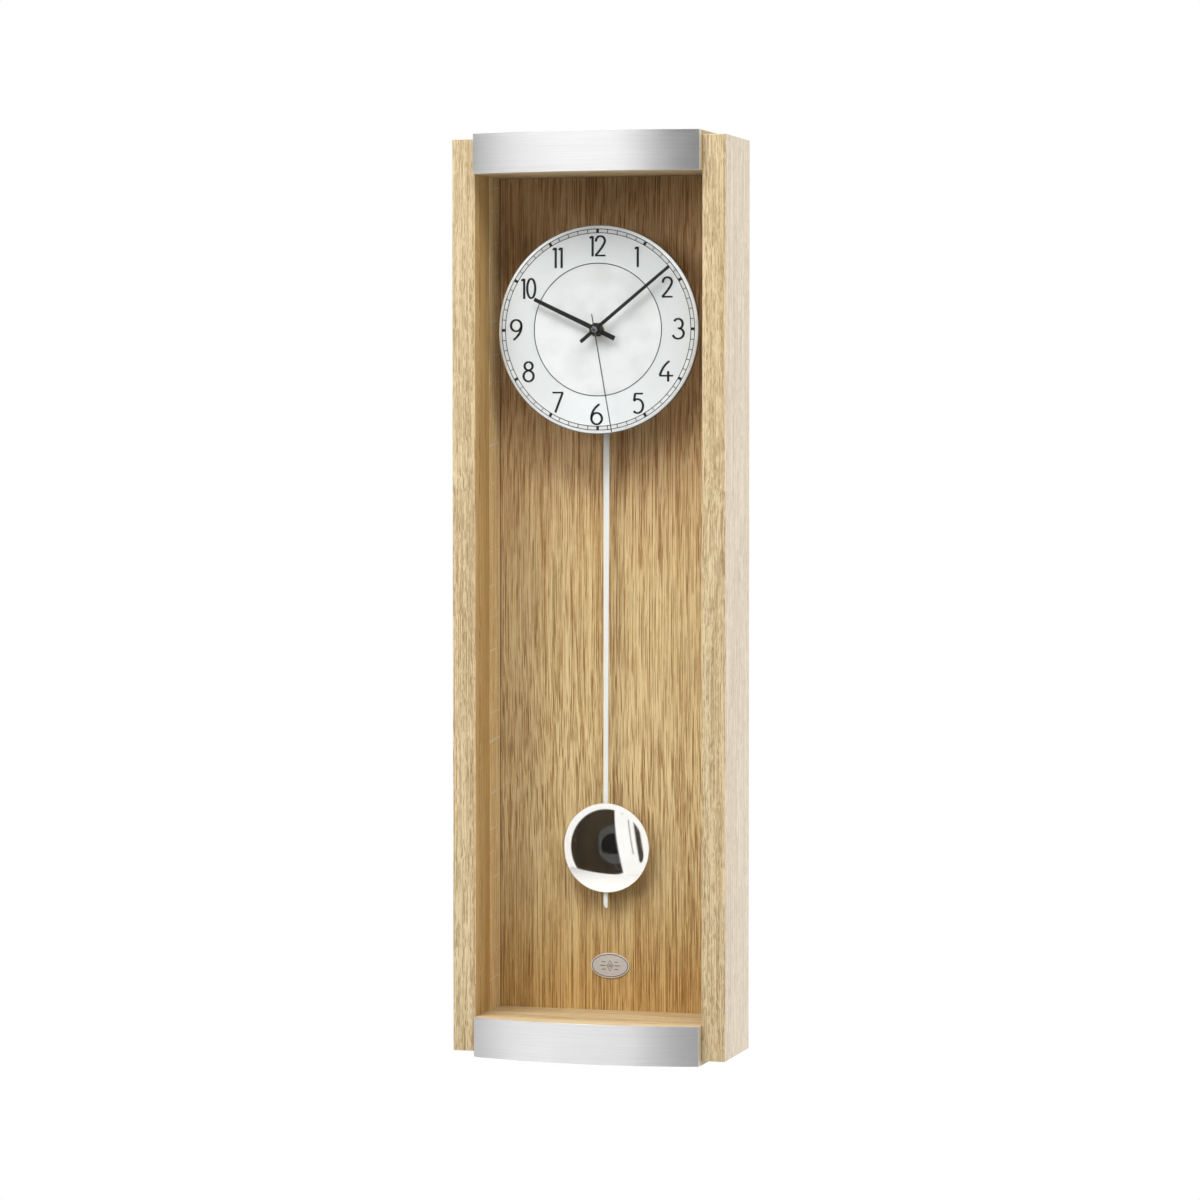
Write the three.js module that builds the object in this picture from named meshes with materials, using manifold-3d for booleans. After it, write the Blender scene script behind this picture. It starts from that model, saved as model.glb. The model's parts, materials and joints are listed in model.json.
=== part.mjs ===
// Pendulum wall clock: an open oak case with curved aluminium bands, a round dial, and a quartz
// pendulum movement with its gear train. Millimetres. X is to the right as seen from the front,
// -Y is the front and +Z is up. The wall is the plane y = 0. The origin is where the wall screw's
// shank bears in the hanger plate.
import * as THREE from "three";
import { mergeVertices } from "three/addons/utils/BufferGeometryUtils.js";
import Module from "manifold-3d";

const wasm = await Module();
wasm.setup();

// ---------------------------------------------------------------- driving dimensions
const HEIGHT = 650; // over the two aluminium bands
const WIDTH = 199; // over the two pillars
const DEPTH = 67; // pillars, from the wall to their front
const PILLAR_WIDTH = 17;
const OVERHANG = 3.2; // a board stands this far past the pillar ends
const BOARD = 28; // height of the boards, the front blocks and the bands
const PANE_SETBACK = 9.4; // from the pillar front to the glass
const PANE_THICKNESS = 2;
const PANE_GROOVE = 3; // depth of the groove that holds the glass
const BAND_PROUD = 6; // a band's end, in front of the pillars
const BAND_BULGE = 11; // rise of the band's arc over its ends
const SHEET = 1.2; // aluminium band thickness
const RECESS = 57.5; // from the pillar front to the back panel
const PANEL = 2.8; // back panel thickness
const PANEL_REBATE = 6; // how far the panel runs into each pillar
const LINING_THICKNESS = 2;
const LINING_DEPTH = 24;
const GLUE = 0.1; // gap left in a glued or screwed joint
const HANG_Z = 604; // height of the hanging point above the bottom band's lower edge

const AXIS_Z = 513.3; // height of the hand axis
const DIAL_RADIUS = 73.5;
const DIAL_FRONT = -41.8; // y of the dial's front face
const DIAL_THICKNESS = 4;
const BOB_Z = 145.6;
const BOB_RADIUS = 32;
const BOB_RISE = 5.5;
const ROD_TIP_Z = 102.5;
const ROD_WIDTH = 4.4;
const ROD_THICKNESS = 0.8;
const ROD_Y = -18.8; // middle of the rod

const MINUTE_ANGLE = 50.9; // degrees clockwise from twelve, at rest
const HOUR_ANGLE = -64.7;
const SECOND_ANGLE = 170;

const pillarFront = -DEPTH;
const halfOpening = WIDTH / 2 - PILLAR_WIDTH;
const panelFront = pillarFront + RECESS;
const panelBack = panelFront + PANEL;
const dialBack = DIAL_FRONT + DIAL_THICKNESS;

// ---------------------------------------------------------------- materials
function material(color, roughness, metalness) {
  return new THREE.MeshStandardMaterial({ color, roughness, metalness });
}
const oak = material(0xc6ab7c, 0.6, 0);
const paleWood = material(0xe6d3ab, 0.6, 0);
const aluminium = material(0xcfcdd2, 0.35, 1);
const steel = material(0xb8babd, 0.35, 1);
const brass = material(0xc9a85c, 0.35, 1);
const copper = material(0xb5653a, 0.4, 1);
const nickel = material(0xe4e0da, 0.08, 1);
const dialWhite = material(0xe9ebec, 0.35, 0);
const black = material(0x161616, 0.45, 0);
const handBlack = material(0x141414, 0.4, 0);
const whitePlastic = material(0xe2e0d8, 0.5, 0);
const rubber = material(0x2a2a2a, 0.85, 0);
const boardGreen = material(0x2f5a3a, 0.6, 0);
const glass = material(0xe8f2ee, 0.02, 0);
const cellSleeve = material(0x8a8f96, 0.4, 0);

// ---------------------------------------------------------------- geometry helpers
const TAU = Math.PI * 2;
const radians = THREE.MathUtils.degToRad;

// A box between two corners.
function block(x0, x1, y0, y1, z0, z1) {
  const box = new THREE.BoxGeometry(x1 - x0, y1 - y0, z1 - z0);
  return box.translate((x0 + x1) / 2, (y0 + y1) / 2, (z0 + z1) / 2);
}

// A closed shape through [a, b] pairs.
function outline(points) {
  return new THREE.Shape(points.map(([a, b]) => new THREE.Vector2(a, b)));
}

function circle(x, z, radius) {
  return new THREE.Path().absarc(x, z, radius, 0, TAU, false);
}

// Extrudes an XZ shape along Y, from y0 to y1.
function plate(shape, y0, y1, curveSegments = 6) {
  const flat = new THREE.ExtrudeGeometry(shape, { depth: y1 - y0, bevelEnabled: false, curveSegments });
  return flat.rotateX(Math.PI / 2).translate(0, y1, 0);
}

// Extrudes an XY shape along Z, from z0 to z1.
function upright(shape, z0, z1, curveSegments = 12) {
  const post = new THREE.ExtrudeGeometry(shape, { depth: z1 - z0, bevelEnabled: false, curveSegments });
  return post.translate(0, 0, z0);
}

// Turns an [radius, y] profile about the Y axis. Listed from the front to the rear along its outside.
function turned(profile, segments = 20) {
  return new THREE.LatheGeometry(profile.map(([r, y]) => new THREE.Vector2(r, y)), segments);
}

function rod(radius, y0, y1, segments = 10) {
  return turned([[0, y0], [radius, y0], [radius, y1], [0, y1]], segments);
}

function tube(inner, outer, y0, y1, segments = 20) {
  return turned([[inner, y0], [outer, y0], [outer, y1], [inner, y1], [inner, y0]], segments);
}

function solidOf(geometry) {
  const bare = geometry.clone();
  bare.deleteAttribute("normal");
  bare.deleteAttribute("uv");
  const merged = mergeVertices(bare, 1e-4);
  return new wasm.Manifold(
    new wasm.Mesh({
      numProp: 3,
      vertProperties: merged.attributes.position.array,
      triVerts: new Uint32Array(merged.index.array),
    }),
  );
}

function geometryOf(solid) {
  const mesh = solid.getMesh();
  const geometry = new THREE.BufferGeometry();
  geometry.setAttribute("position", new THREE.BufferAttribute(mesh.vertProperties, 3));
  geometry.setIndex(new THREE.BufferAttribute(mesh.triVerts, 1));
  geometry.computeVertexNormals();
  return geometry;
}

function join(...geometries) {
  return geometryOf(geometries.map(solidOf).reduce((all, next) => all.add(next)));
}

function cut(geometry, ...tools) {
  return geometryOf(tools.map(solidOf).reduce((rest, tool) => rest.subtract(tool), solidOf(geometry)));
}

// ---------------------------------------------------------------- scene graph
const clock = new THREE.Group();
const bench = new THREE.Group(); // heights from the bottom band's lower edge
bench.position.z = -HANG_Z;
clock.add(bench);
const work = new THREE.Group(); // heights from the hand axis
work.position.z = AXIS_Z;
bench.add(work);

function place(parent, name, geometry, look) {
  const mesh = new THREE.Mesh(geometry, look);
  mesh.name = name;
  parent.add(mesh);
  return mesh;
}

// ---------------------------------------------------------------- case
const SIDES = { left: -1, right: 1 };
const SCREW_SHANK = 1.4;
const SCREW_HOLE = 1.7;

const PANE_PLAY = 0.3;
const paneFront = pillarFront + PANE_SETBACK;
const paneBack = paneFront + PANE_THICKNESS;

function pillarOutline(side) {
  const inner = halfOpening;
  const outer = WIDTH / 2;
  const groove = inner + PANE_GROOVE;
  const lining = panelFront - LINING_DEPTH - GLUE;
  const rebate = panelFront - GLUE;
  const points = [
    [inner, pillarFront],
    [outer, pillarFront],
    [outer, 0],
    [inner + PANEL_REBATE, 0],
    [inner + PANEL_REBATE, rebate],
    [inner + LINING_THICKNESS, rebate],
    [inner + LINING_THICKNESS, lining],
    [inner, lining],
    [inner, paneBack + PANE_PLAY],
    [groove, paneBack + PANE_PLAY],
    [groove, paneFront - PANE_PLAY],
    [inner, paneFront - PANE_PLAY],
  ];
  return outline(points.map(([x, y]) => [side * x, y]));
}

function buildPillars() {
  const z0 = OVERHANG;
  const z1 = HEIGHT - OVERHANG;
  for (const [name, side] of Object.entries(SIDES)) {
    const span = (a, b) => [Math.min(side * a, side * b), Math.max(side * a, side * b)];
    place(bench, `${name}_pillar`, upright(pillarOutline(side), z0, z1), oak);
    const [s0, s1] = span(halfOpening, halfOpening + LINING_THICKNESS - GLUE);
    const lining = block(s0, s1, panelFront - LINING_DEPTH, panelFront - 2 * GLUE, z0, z1);
    place(bench, `${name}_lining_strip`, lining, oak);
  }
}

// y of the band's front face at x, less an inset.
const bandHalf = halfOpening - 0.3;
const bandRadius = (bandHalf ** 2 + BAND_BULGE ** 2) / (2 * BAND_BULGE);
const bandCentreY = pillarFront - BAND_PROUD - BAND_BULGE + bandRadius;

// Points from left to right along the band's arc, moved back by the inset.
function bandArc(inset, steps = 24) {
  const radius = bandRadius - inset;
  const reach = Math.asin(bandHalf / radius);
  return Array.from({ length: steps + 1 }, (_, i) => {
    const angle = -reach + (2 * reach * i) / steps;
    return [radius * Math.sin(angle), bandCentreY - radius * Math.cos(angle)];
  });
}

const PANEL_SCREW_X = 60;

function buildBoards() {
  const boards = { bottom: 0, top: HEIGHT - BOARD };
  for (const [name, z0] of Object.entries(boards)) {
    const z1 = z0 + BOARD;
    const edge = halfOpening - GLUE;
    const core = block(-edge, edge, pillarFront + GLUE, panelFront - GLUE, z0, z1);
    const holes = [-PANEL_SCREW_X, PANEL_SCREW_X].map((x) =>
      rod(SCREW_HOLE, panelFront - 12, panelFront + 1).translate(x, 0, z0 + BOARD / 2),
    );
    const face = name === "top" ? z0 : z1;
    const [g0, g1] = [face - PANE_GROOVE, face + PANE_GROOVE];
    const groove = block(-WIDTH, WIDTH, paneFront - PANE_PLAY, paneBack + PANE_PLAY, g0, g1);
    place(bench, `${name}_board`, cut(core, groove, ...holes), oak);

    const inner = bandArc(SHEET + GLUE);
    const front = [...inner, [bandHalf, pillarFront], [-bandHalf, pillarFront]];
    place(bench, `${name}_front_block`, upright(outline(front), z0, z1), paleWood);

    const band = [...bandArc(0), ...bandArc(SHEET).reverse()];
    place(bench, `${name}_aluminium_band`, upright(outline(band), z0, z1), aluminium);
  }
}

function buildPane() {
  const edge = halfOpening + PANE_GROOVE - PANE_PLAY;
  const inset = BOARD - PANE_GROOVE + PANE_PLAY;
  place(bench, "glass_pane", block(-edge, edge, paneFront, paneBack, inset, HEIGHT - inset), glass);
}

function screw(headRadius, headHeight, length) {
  return turned([
    [0, -length],
    [SCREW_SHANK, -length],
    [SCREW_SHANK, 0],
    [headRadius, 0],
    [headRadius, headHeight],
    [0, headHeight],
  ], 10);
}

// Legs of the dial bracket, as [x, z] from the hand axis.
const LEG_REACH = 54;
const legs = [90, 210, 330].map((a) => [LEG_REACH * Math.cos(radians(a)), LEG_REACH * Math.sin(radians(a))]);
const SERVICE_X = 38; // half width of the hand hole behind the movement
const SERVICE_Z = 43; // half height

function buildBackPanel() {
  const edge = halfOpening + PANEL_REBATE - 0.3;
  const z0 = OVERHANG + 0.3;
  const z1 = HEIGHT - OVERHANG - 0.3;
  const panel = outline([[-edge, z0], [edge, z0], [edge, z1], [-edge, z1]]);
  const service = [[-1, -1], [-1, 1], [1, 1], [1, -1]];
  panel.holes.push(
    new THREE.Path(service.map(([a, b]) => new THREE.Vector2(a * SERVICE_X, AXIS_Z + b * SERVICE_Z))),
  );
  const screws = [];
  for (const x of [-PANEL_SCREW_X, PANEL_SCREW_X])
    for (const z of [BOARD / 2, HEIGHT - BOARD / 2]) screws.push([x, z]);
  for (const [x, z] of screws) panel.holes.push(circle(x, z, SCREW_HOLE));
  for (const [x, z] of legs) panel.holes.push(circle(x, AXIS_Z + z, SCREW_HOLE));
  place(bench, "back_panel", plate(panel, panelFront, panelBack), oak);

  screws.forEach(([x, z], i) => {
    const mesh = place(bench, `back_panel_screw_${i + 1}`, screw(3.4, 1.4, 13), steel);
    mesh.position.set(x, panelBack + GLUE, z);
  });
}

const RAIL_THICKNESS = 4;
const HANGER_SHEET = 1.2;
const KEYHOLE_SLOT = 2.6; // half width of the slot
const KEYHOLE_HEAD = 5.2; // radius of the round end
const KEYHOLE_DROP = 11; // slot top to the middle of the round end
const HANGER_SCREW_X = 24;

function buildHanger() {
  const railFront = panelBack + GLUE;
  const railBack = railFront + RAIL_THICKNESS;
  const edge = halfOpening + PANEL_REBATE - 0.3;
  const hang = HANG_Z;
  const rail = outline([[-edge, hang - 30], [edge, hang - 30], [edge, hang + 12], [-edge, hang + 12]]);
  // Pocket for the head of the wall screw.
  const pocket = [[-9, hang - 22], [-9, hang + 6], [9, hang + 6], [9, hang - 22]];
  rail.holes.push(new THREE.Path(pocket.map(([x, z]) => new THREE.Vector2(x, z))));
  for (const x of [-HANGER_SCREW_X, HANGER_SCREW_X]) rail.holes.push(circle(x, hang - 8, SCREW_HOLE));
  place(bench, "hanging_rail", plate(rail, railFront, railBack), oak);

  const sheetFront = railBack + GLUE;
  const sheet = outline([[-32, hang - 24], [32, hang - 24], [32, hang + 8], [-32, hang + 8]]);
  const keyhole = new THREE.Path();
  const slotTop = hang - KEYHOLE_SLOT;
  const meet = Math.asin(KEYHOLE_SLOT / KEYHOLE_HEAD);
  keyhole.absarc(0, slotTop, KEYHOLE_SLOT, 0, Math.PI, false);
  keyhole.absarc(0, slotTop - KEYHOLE_DROP, KEYHOLE_HEAD, Math.PI / 2 + meet, Math.PI / 2 - meet + TAU, false);
  keyhole.closePath();
  sheet.holes.push(keyhole);
  for (const x of [-HANGER_SCREW_X, HANGER_SCREW_X]) sheet.holes.push(circle(x, hang - 8, SCREW_HOLE));
  place(bench, "hanger_plate", plate(sheet, sheetFront, sheetFront + HANGER_SHEET, 8), steel);

  for (const [name, side] of Object.entries(SIDES)) {
    const mesh = place(bench, `hanger_screw_${name}`, screw(3.2, 0.9, 5), steel);
    mesh.position.set(side * HANGER_SCREW_X, sheetFront + HANGER_SHEET + GLUE, hang - 8);
    const buffer = place(bench, `wall_buffer_${name}`, rod(7, panelBack + GLUE, 0, 16), rubber);
    buffer.position.set(side * 66, 0, 44);
  }
}

function buildBadge() {
  const oval = new THREE.Shape().absellipse(0, 60, 14.4, 9.1, 0, TAU, false);
  place(bench, "oval_badge", plate(oval, panelFront - 0.7, panelFront - GLUE, 16), aluminium);
}

// ---------------------------------------------------------------- dial and its bracket
const BUSH_RADIUS = 4;
const BRACKET_SHEET = 1.5;
const bracketBack = dialBack + GLUE + BRACKET_SHEET;

function buildDial() {
  const facet = 1.4;
  const hole = BUSH_RADIUS + 0.5;
  const disc = turned([
    [hole, DIAL_FRONT],
    [DIAL_RADIUS - facet, DIAL_FRONT],
    [DIAL_RADIUS, DIAL_FRONT + facet / 2],
    [DIAL_RADIUS, dialBack],
    [hole, dialBack],
    [hole, DIAL_FRONT],
  ], 60);
  place(work, "dial_disc", disc, dialWhite);

  const disk = tube(BUSH_RADIUS + 0.3, 62, dialBack + GLUE, bracketBack, 36);
  const posts = legs.map(([x, z]) => rod(4.5, bracketBack - 0.5, panelFront - GLUE, 12).translate(x, 0, z));
  const bores = legs.map(([x, z]) => rod(SCREW_HOLE, panelFront - 10, panelFront + 1).translate(x, 0, z));
  place(work, "dial_bracket", cut(join(disk, ...posts), ...bores), black);
  legs.forEach(([x, z], i) => {
    const mesh = place(work, `bracket_screw_${i + 1}`, screw(3.4, 1.4, 11), steel);
    mesh.position.set(x, panelBack + GLUE, z);
  });
}

// ---------------------------------------------------------------- movement case
const WALL = 1.2;
const box = { x0: -27, x1: 37.4, z0: -46, z1: 32 }; // movement housing, from the hand axis
const boxFront = bracketBack + GLUE;
const coverBack = -20.6;
const coverFront = coverBack - WALL;
const boxBack = coverFront - GLUE;
const BAY_X = 19.2; // wall between the gears and the battery
const CELL_X = 27.9;
const CELL_RADIUS = 7.1;
const CELL_Z0 = -26;
const CELL_Z1 = 24.5;

function buildMovementCase() {
  const shell = block(box.x0, box.x1, boxFront, boxBack, box.z0, box.z1);
  const floor = boxFront + WALL;
  const gearBay = block(box.x0 + WALL, BAY_X - WALL / 2, floor, 0, box.z0 + WALL, box.z1 - WALL);
  const cellBay = block(BAY_X + WALL / 2, box.x1 - WALL, floor, 0, CELL_Z0 - 2.6, CELL_Z1 + 2.6);
  const bore = rod(BUSH_RADIUS + 0.1, boxFront - 1, floor + 1, 24);
  place(work, "movement_housing", cut(shell, gearBay, cellBay, bore), black);

  const [mx, mz] = motionAxis;
  const cover = block(box.x0, BAY_X, coverFront, coverBack, box.z0, box.z1);
  const arborHole = rod(2.2, coverFront - 1, coverBack + 1).translate(mx, 0, mz);
  place(work, "movement_rear_cover", cut(cover, arborHole), black);

  const bush = turned([
    [2.9, -44.6],
    [BUSH_RADIUS, -44.6],
    [BUSH_RADIUS, floor + GLUE],
    [5.6, floor + GLUE],
    [5.6, floor + 0.8],
    [2.9, floor + 0.8],
    [2.9, -44.6],
  ]);
  place(work, "threaded_bush", bush, brass);
  const hexagon = outline(
    Array.from({ length: 6 }, (_, i) => [5.5 * Math.cos((TAU * i) / 6), 5.5 * Math.sin((TAU * i) / 6)]),
  );
  hexagon.holes.push(circle(0, 0, BUSH_RADIUS + 0.15));
  place(work, "bush_nut", plate(hexagon, DIAL_FRONT - 2.3, DIAL_FRONT - GLUE, 24), brass);

  const cell = turned([
    [0, CELL_Z0],
    [CELL_RADIUS - 0.5, CELL_Z0],
    [CELL_RADIUS, CELL_Z0 + 0.5],
    [CELL_RADIUS, CELL_Z1 - 1.6],
    [CELL_RADIUS - 0.8, CELL_Z1 - 1.1],
    [2.7, CELL_Z1 - 1.1],
    [2.7, CELL_Z1],
    [0, CELL_Z1],
  ]).rotateX(Math.PI / 2);
  place(work, "battery_cell", cell.translate(CELL_X, coverBack - CELL_RADIUS, 0), cellSleeve);
  const contact = { y0: floor + 2.5, y1: boxBack - 1 };
  const top = CELL_Z1 + 0.4;
  const bottom = CELL_Z0 - 0.4;
  const flat = (z0, z1) => block(CELL_X - 4, CELL_X + 4, contact.y0, contact.y1, z0, z1);
  const stem = (z0, z1) => block(CELL_X - 1.5, CELL_X + 1.5, contact.y0 + 3, contact.y1 - 3, z0, z1);
  place(work, "battery_contact_top", join(flat(top + 1.2, top + 1.8), stem(top, top + 1.4)), nickel);
  place(work, "battery_contact_bottom", join(flat(bottom - 1.8, bottom - 1.2), stem(bottom - 1.4, bottom)), nickel);
}

// ---------------------------------------------------------------- gears
// One gear's outline in the XZ plane. A tooth is centred on the phase angle, measured from +X towards +Z.
const TIP = 0.7; // tooth height over the pitch circle, in modules
const ROOT = 0.85; // depth under it
const HALF_ROOT = 0.3; // half of a tooth's thickness at its root, in pitches

function gearShape(teeth, module, phase) {
  const pitch = (teeth * module) / 2;
  const step = TAU / teeth;
  const points = [];
  for (let i = 0; i < teeth; i += 1) {
    const middle = phase + i * step;
    const corners = [
      [pitch - ROOT * module, -HALF_ROOT],
      [pitch + TIP * module, 0],
      [pitch - ROOT * module, HALF_ROOT],
    ];
    for (const [r, share] of corners) {
      const angle = middle + share * step;
      points.push([r * Math.cos(angle), r * Math.sin(angle)]);
    }
  }
  return outline(points);
}

// Phase that puts a gap of the driven gear on a tooth of the driving gear, where the line from the
// driving gear's axis to the driven one's lies at the given direction.
function meshPhase(direction, teeth, drivingTeeth, drivingPhase) {
  const share = ((drivingPhase - direction) * drivingTeeth) / TAU;
  return direction + Math.PI + (TAU / teeth) * (0.5 - share);
}

const polar = (distance, degrees) => [distance * Math.cos(radians(degrees)), distance * Math.sin(radians(degrees))];

// Axis distances and directions, as seen from the front.
const THIRD_DISTANCE = 10.26;
const THIRD_DIRECTION = 120;
const MOTION_DISTANCE = 10.6;
const MOTION_DIRECTION = 32;
const INTERMEDIATE_DISTANCE = 10.3;
const INTERMEDIATE_DIRECTION = 235;
const ROTOR_DISTANCE = 7.56;
const ROTOR_DIRECTION = 190;
const thirdAxis = polar(THIRD_DISTANCE, THIRD_DIRECTION);
const motionAxis = polar(MOTION_DISTANCE, MOTION_DIRECTION);
const intermediateAxis = polar(INTERMEDIATE_DISTANCE, INTERMEDIATE_DIRECTION);
const rotorAxis = polar(ROTOR_DISTANCE, ROTOR_DIRECTION).map((v, i) => v + intermediateAxis[i]);

// Tooth counts. Seconds to minutes is (48 / 6) x (45 / 6) = 60, minutes to hours (36 / 12) x (36 / 9) = 12,
// and the rotor turns (36 / 6) x (30 / 6) = 30 times for one turn of the seconds.
const TEETH = {
  secondPinion: 6,
  thirdWheel: 48,
  thirdPinion: 6,
  centreWheel: 45,
  secondWheel: 30,
  intermediatePinion: 6,
  intermediateWheel: 36,
  rotorPinion: 6,
  cannonPinion: 12,
  motionWheel: 36,
  motionPinion: 9,
  hourWheel: 36,
};
const moduleOf = (distance, a, b) => (2 * distance) / (TEETH[a] + TEETH[b]);

function gear(name, module, phase, y0, y1, bore = 0) {
  const shape = gearShape(TEETH[name], module, phase);
  if (bore) shape.holes.push(circle(0, 0, bore));
  return plate(shape, y0, y1, 10);
}

const ARBOR = 0.5;
const SECOND_ARBOR = 0.7;
const gearFront = boxFront + WALL + 0.2;
const gearBack = coverFront - 0.2;

function buildGoingTrain() {
  const thirdDirection = radians(THIRD_DIRECTION);
  const m1 = moduleOf(THIRD_DISTANCE, "secondPinion", "thirdWheel");
  const m2 = moduleOf(THIRD_DISTANCE, "thirdPinion", "centreWheel");
  const m3 = moduleOf(INTERMEDIATE_DISTANCE, "intermediatePinion", "secondWheel");
  const m4 = moduleOf(ROTOR_DISTANCE, "rotorPinion", "intermediateWheel");

  const second = join(
    rod(SECOND_ARBOR, -50.9, gearBack),
    gear("secondPinion", m1, 0, -28.6, -26.4),
    gear("secondWheel", m3, 0, -24.8, -24),
  );
  place(work, "second_wheel", second, brass);

  const thirdPhase = meshPhase(thirdDirection, TEETH.thirdWheel, TEETH.secondPinion, 0);
  const third = join(
    rod(ARBOR, gearFront, gearBack),
    gear("thirdWheel", m1, thirdPhase, -27.9, -27.1),
    gear("thirdPinion", m2, 0, -31.3, -29.7),
  );
  place(work, "third_wheel", third.translate(thirdAxis[0], 0, thirdAxis[1]), brass);

  const centrePhase = meshPhase(thirdDirection + Math.PI, TEETH.centreWheel, TEETH.thirdPinion, 0);
  place(work, "centre_wheel", gear("centreWheel", m2, centrePhase, -30.9, -30.1, 2.15), brass);

  const down = radians(INTERMEDIATE_DIRECTION);
  const pinionPhase = meshPhase(down, TEETH.intermediatePinion, TEETH.secondWheel, 0);
  const intermediate = join(
    rod(ARBOR, gearFront, gearBack),
    gear("intermediatePinion", m3, pinionPhase, -25.2, -23.6),
    gear("intermediateWheel", m4, 0, -29.6, -28.8),
  );
  place(work, "intermediate_wheel", intermediate.translate(intermediateAxis[0], 0, intermediateAxis[1]), whitePlastic);

  const rotorPhase = meshPhase(radians(ROTOR_DIRECTION), TEETH.rotorPinion, TEETH.intermediateWheel, 0);
  const rotor = join(
    rod(0.4, gearFront, gearBack),
    gear("rotorPinion", m4, rotorPhase, -30, -28.3),
    rod(3, -27.6, -24.4, 20),
  );
  place(work, "rotor", rotor.translate(rotorAxis[0], 0, rotorAxis[1]), steel);
}

const KNOB_RADIUS = 6.5;

function buildMotionWork() {
  const direction = radians(MOTION_DIRECTION);
  const m1 = moduleOf(MOTION_DISTANCE, "cannonPinion", "motionWheel");
  const m2 = moduleOf(MOTION_DISTANCE, "motionPinion", "hourWheel");

  const cannon = join(
    tube(1, 1.95, -48.9, -29.5, 20),
    gear("cannonPinion", m1, 0, -32.4, -31.2, 1),
  );
  place(work, "cannon_pinion", cannon, brass);

  const motionPhase = meshPhase(direction, TEETH.motionWheel, TEETH.cannonPinion, 0);
  const motion = join(
    rod(ARBOR + 0.1, gearFront, -18),
    gear("motionWheel", m1, motionPhase, -32.2, -31.4),
    gear("motionPinion", m2, 0, -33.8, -32.1),
  );
  place(work, "motion_wheel", motion.translate(motionAxis[0], 0, motionAxis[1]), whitePlastic);

  const knob = join(
    tube(0.75, 1.9, -21.5, -18.5, 16),
    turned([
      [0, -19.6],
      [KNOB_RADIUS, -19.6],
      [KNOB_RADIUS, -15.6],
      [KNOB_RADIUS - 0.8, -14.8],
      [0, -14.8],
    ], 24),
  );
  const socket = rod(0.75, -22, -17.5);
  place(work, "setting_knob", cut(knob, socket).translate(motionAxis[0], 0, motionAxis[1]), whitePlastic);

  const hourPhase = meshPhase(direction + Math.PI, TEETH.hourWheel, TEETH.motionPinion, 0);
  const hour = join(
    tube(2.2, 2.65, -46.3, -32.8, 20),
    gear("hourWheel", m2, hourPhase, -33.6, -32.6, 2.2),
  );
  place(work, "hour_wheel", hour, whitePlastic);
}

// ---------------------------------------------------------------- motor, circuit and pendulum drive
function buildElectrics() {
  const [rx, rz] = rotorAxis;
  const core = { y0: -26.6, y1: -25.4, z0: -25, z1: -23 };
  const lamination = outline([
    [rx - 6, rz + 4.3],
    [rx + 6, rz + 4.3],
    [rx + 6, rz - 4.5],
    [-2.5, -19],
    [-2.5, core.z0],
    [-24.5, core.z0],
    [-24.5, -19],
    [rx - 6, rz - 4.5],
  ]);
  lamination.holes.push(circle(rx, rz, 3.4));
  const window = [[rx - 4, -15.6], [-22, -20], [-22, core.z1], [-5, core.z1], [-5, -20], [rx + 4, -15.6]];
  lamination.holes.push(new THREE.Path(window.map(([x, z]) => new THREE.Vector2(x, z))));
  place(work, "stator", plate(lamination, core.y0, core.y1, 16), steel);

  const coreY = (core.y0 + core.y1) / 2;
  const winding = new THREE.CylinderGeometry(2.9, 2.9, 15, 20).rotateZ(Math.PI / 2).translate(-13.5, coreY, -24);
  const hollow = block(-30, 0, core.y0 - 0.3, core.y1 + 0.3, core.z0 - 0.3, core.z1 + 0.3);
  place(work, "motor_coil", cut(winding, hollow), copper);

  place(work, "circuit_board", block(-24.4, 14, -33.2, -32.2, 20.4, 30), boardGreen);
  const can = new THREE.CylinderGeometry(1.5, 1.5, 7, 16).rotateZ(Math.PI / 2).translate(-14, -30.4, 25.4);
  place(work, "quartz_crystal", can, nickel);

  place(work, "pendulum_drive_coil", tube(2.2, 6.4, -29.5, coverFront - 0.3, 28).translate(0, 0, MAGNET_Z), copper);
}

// ---------------------------------------------------------------- pendulum
const PIVOT_Z = -12; // pendulum pivot, from the hand axis
const MAGNET_Z = -38;
const HOOK_Z = -52;
const HANGER_Y0 = -18.2;
const HANGER_Y1 = -15.6;
const EYE = 3.2;

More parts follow.
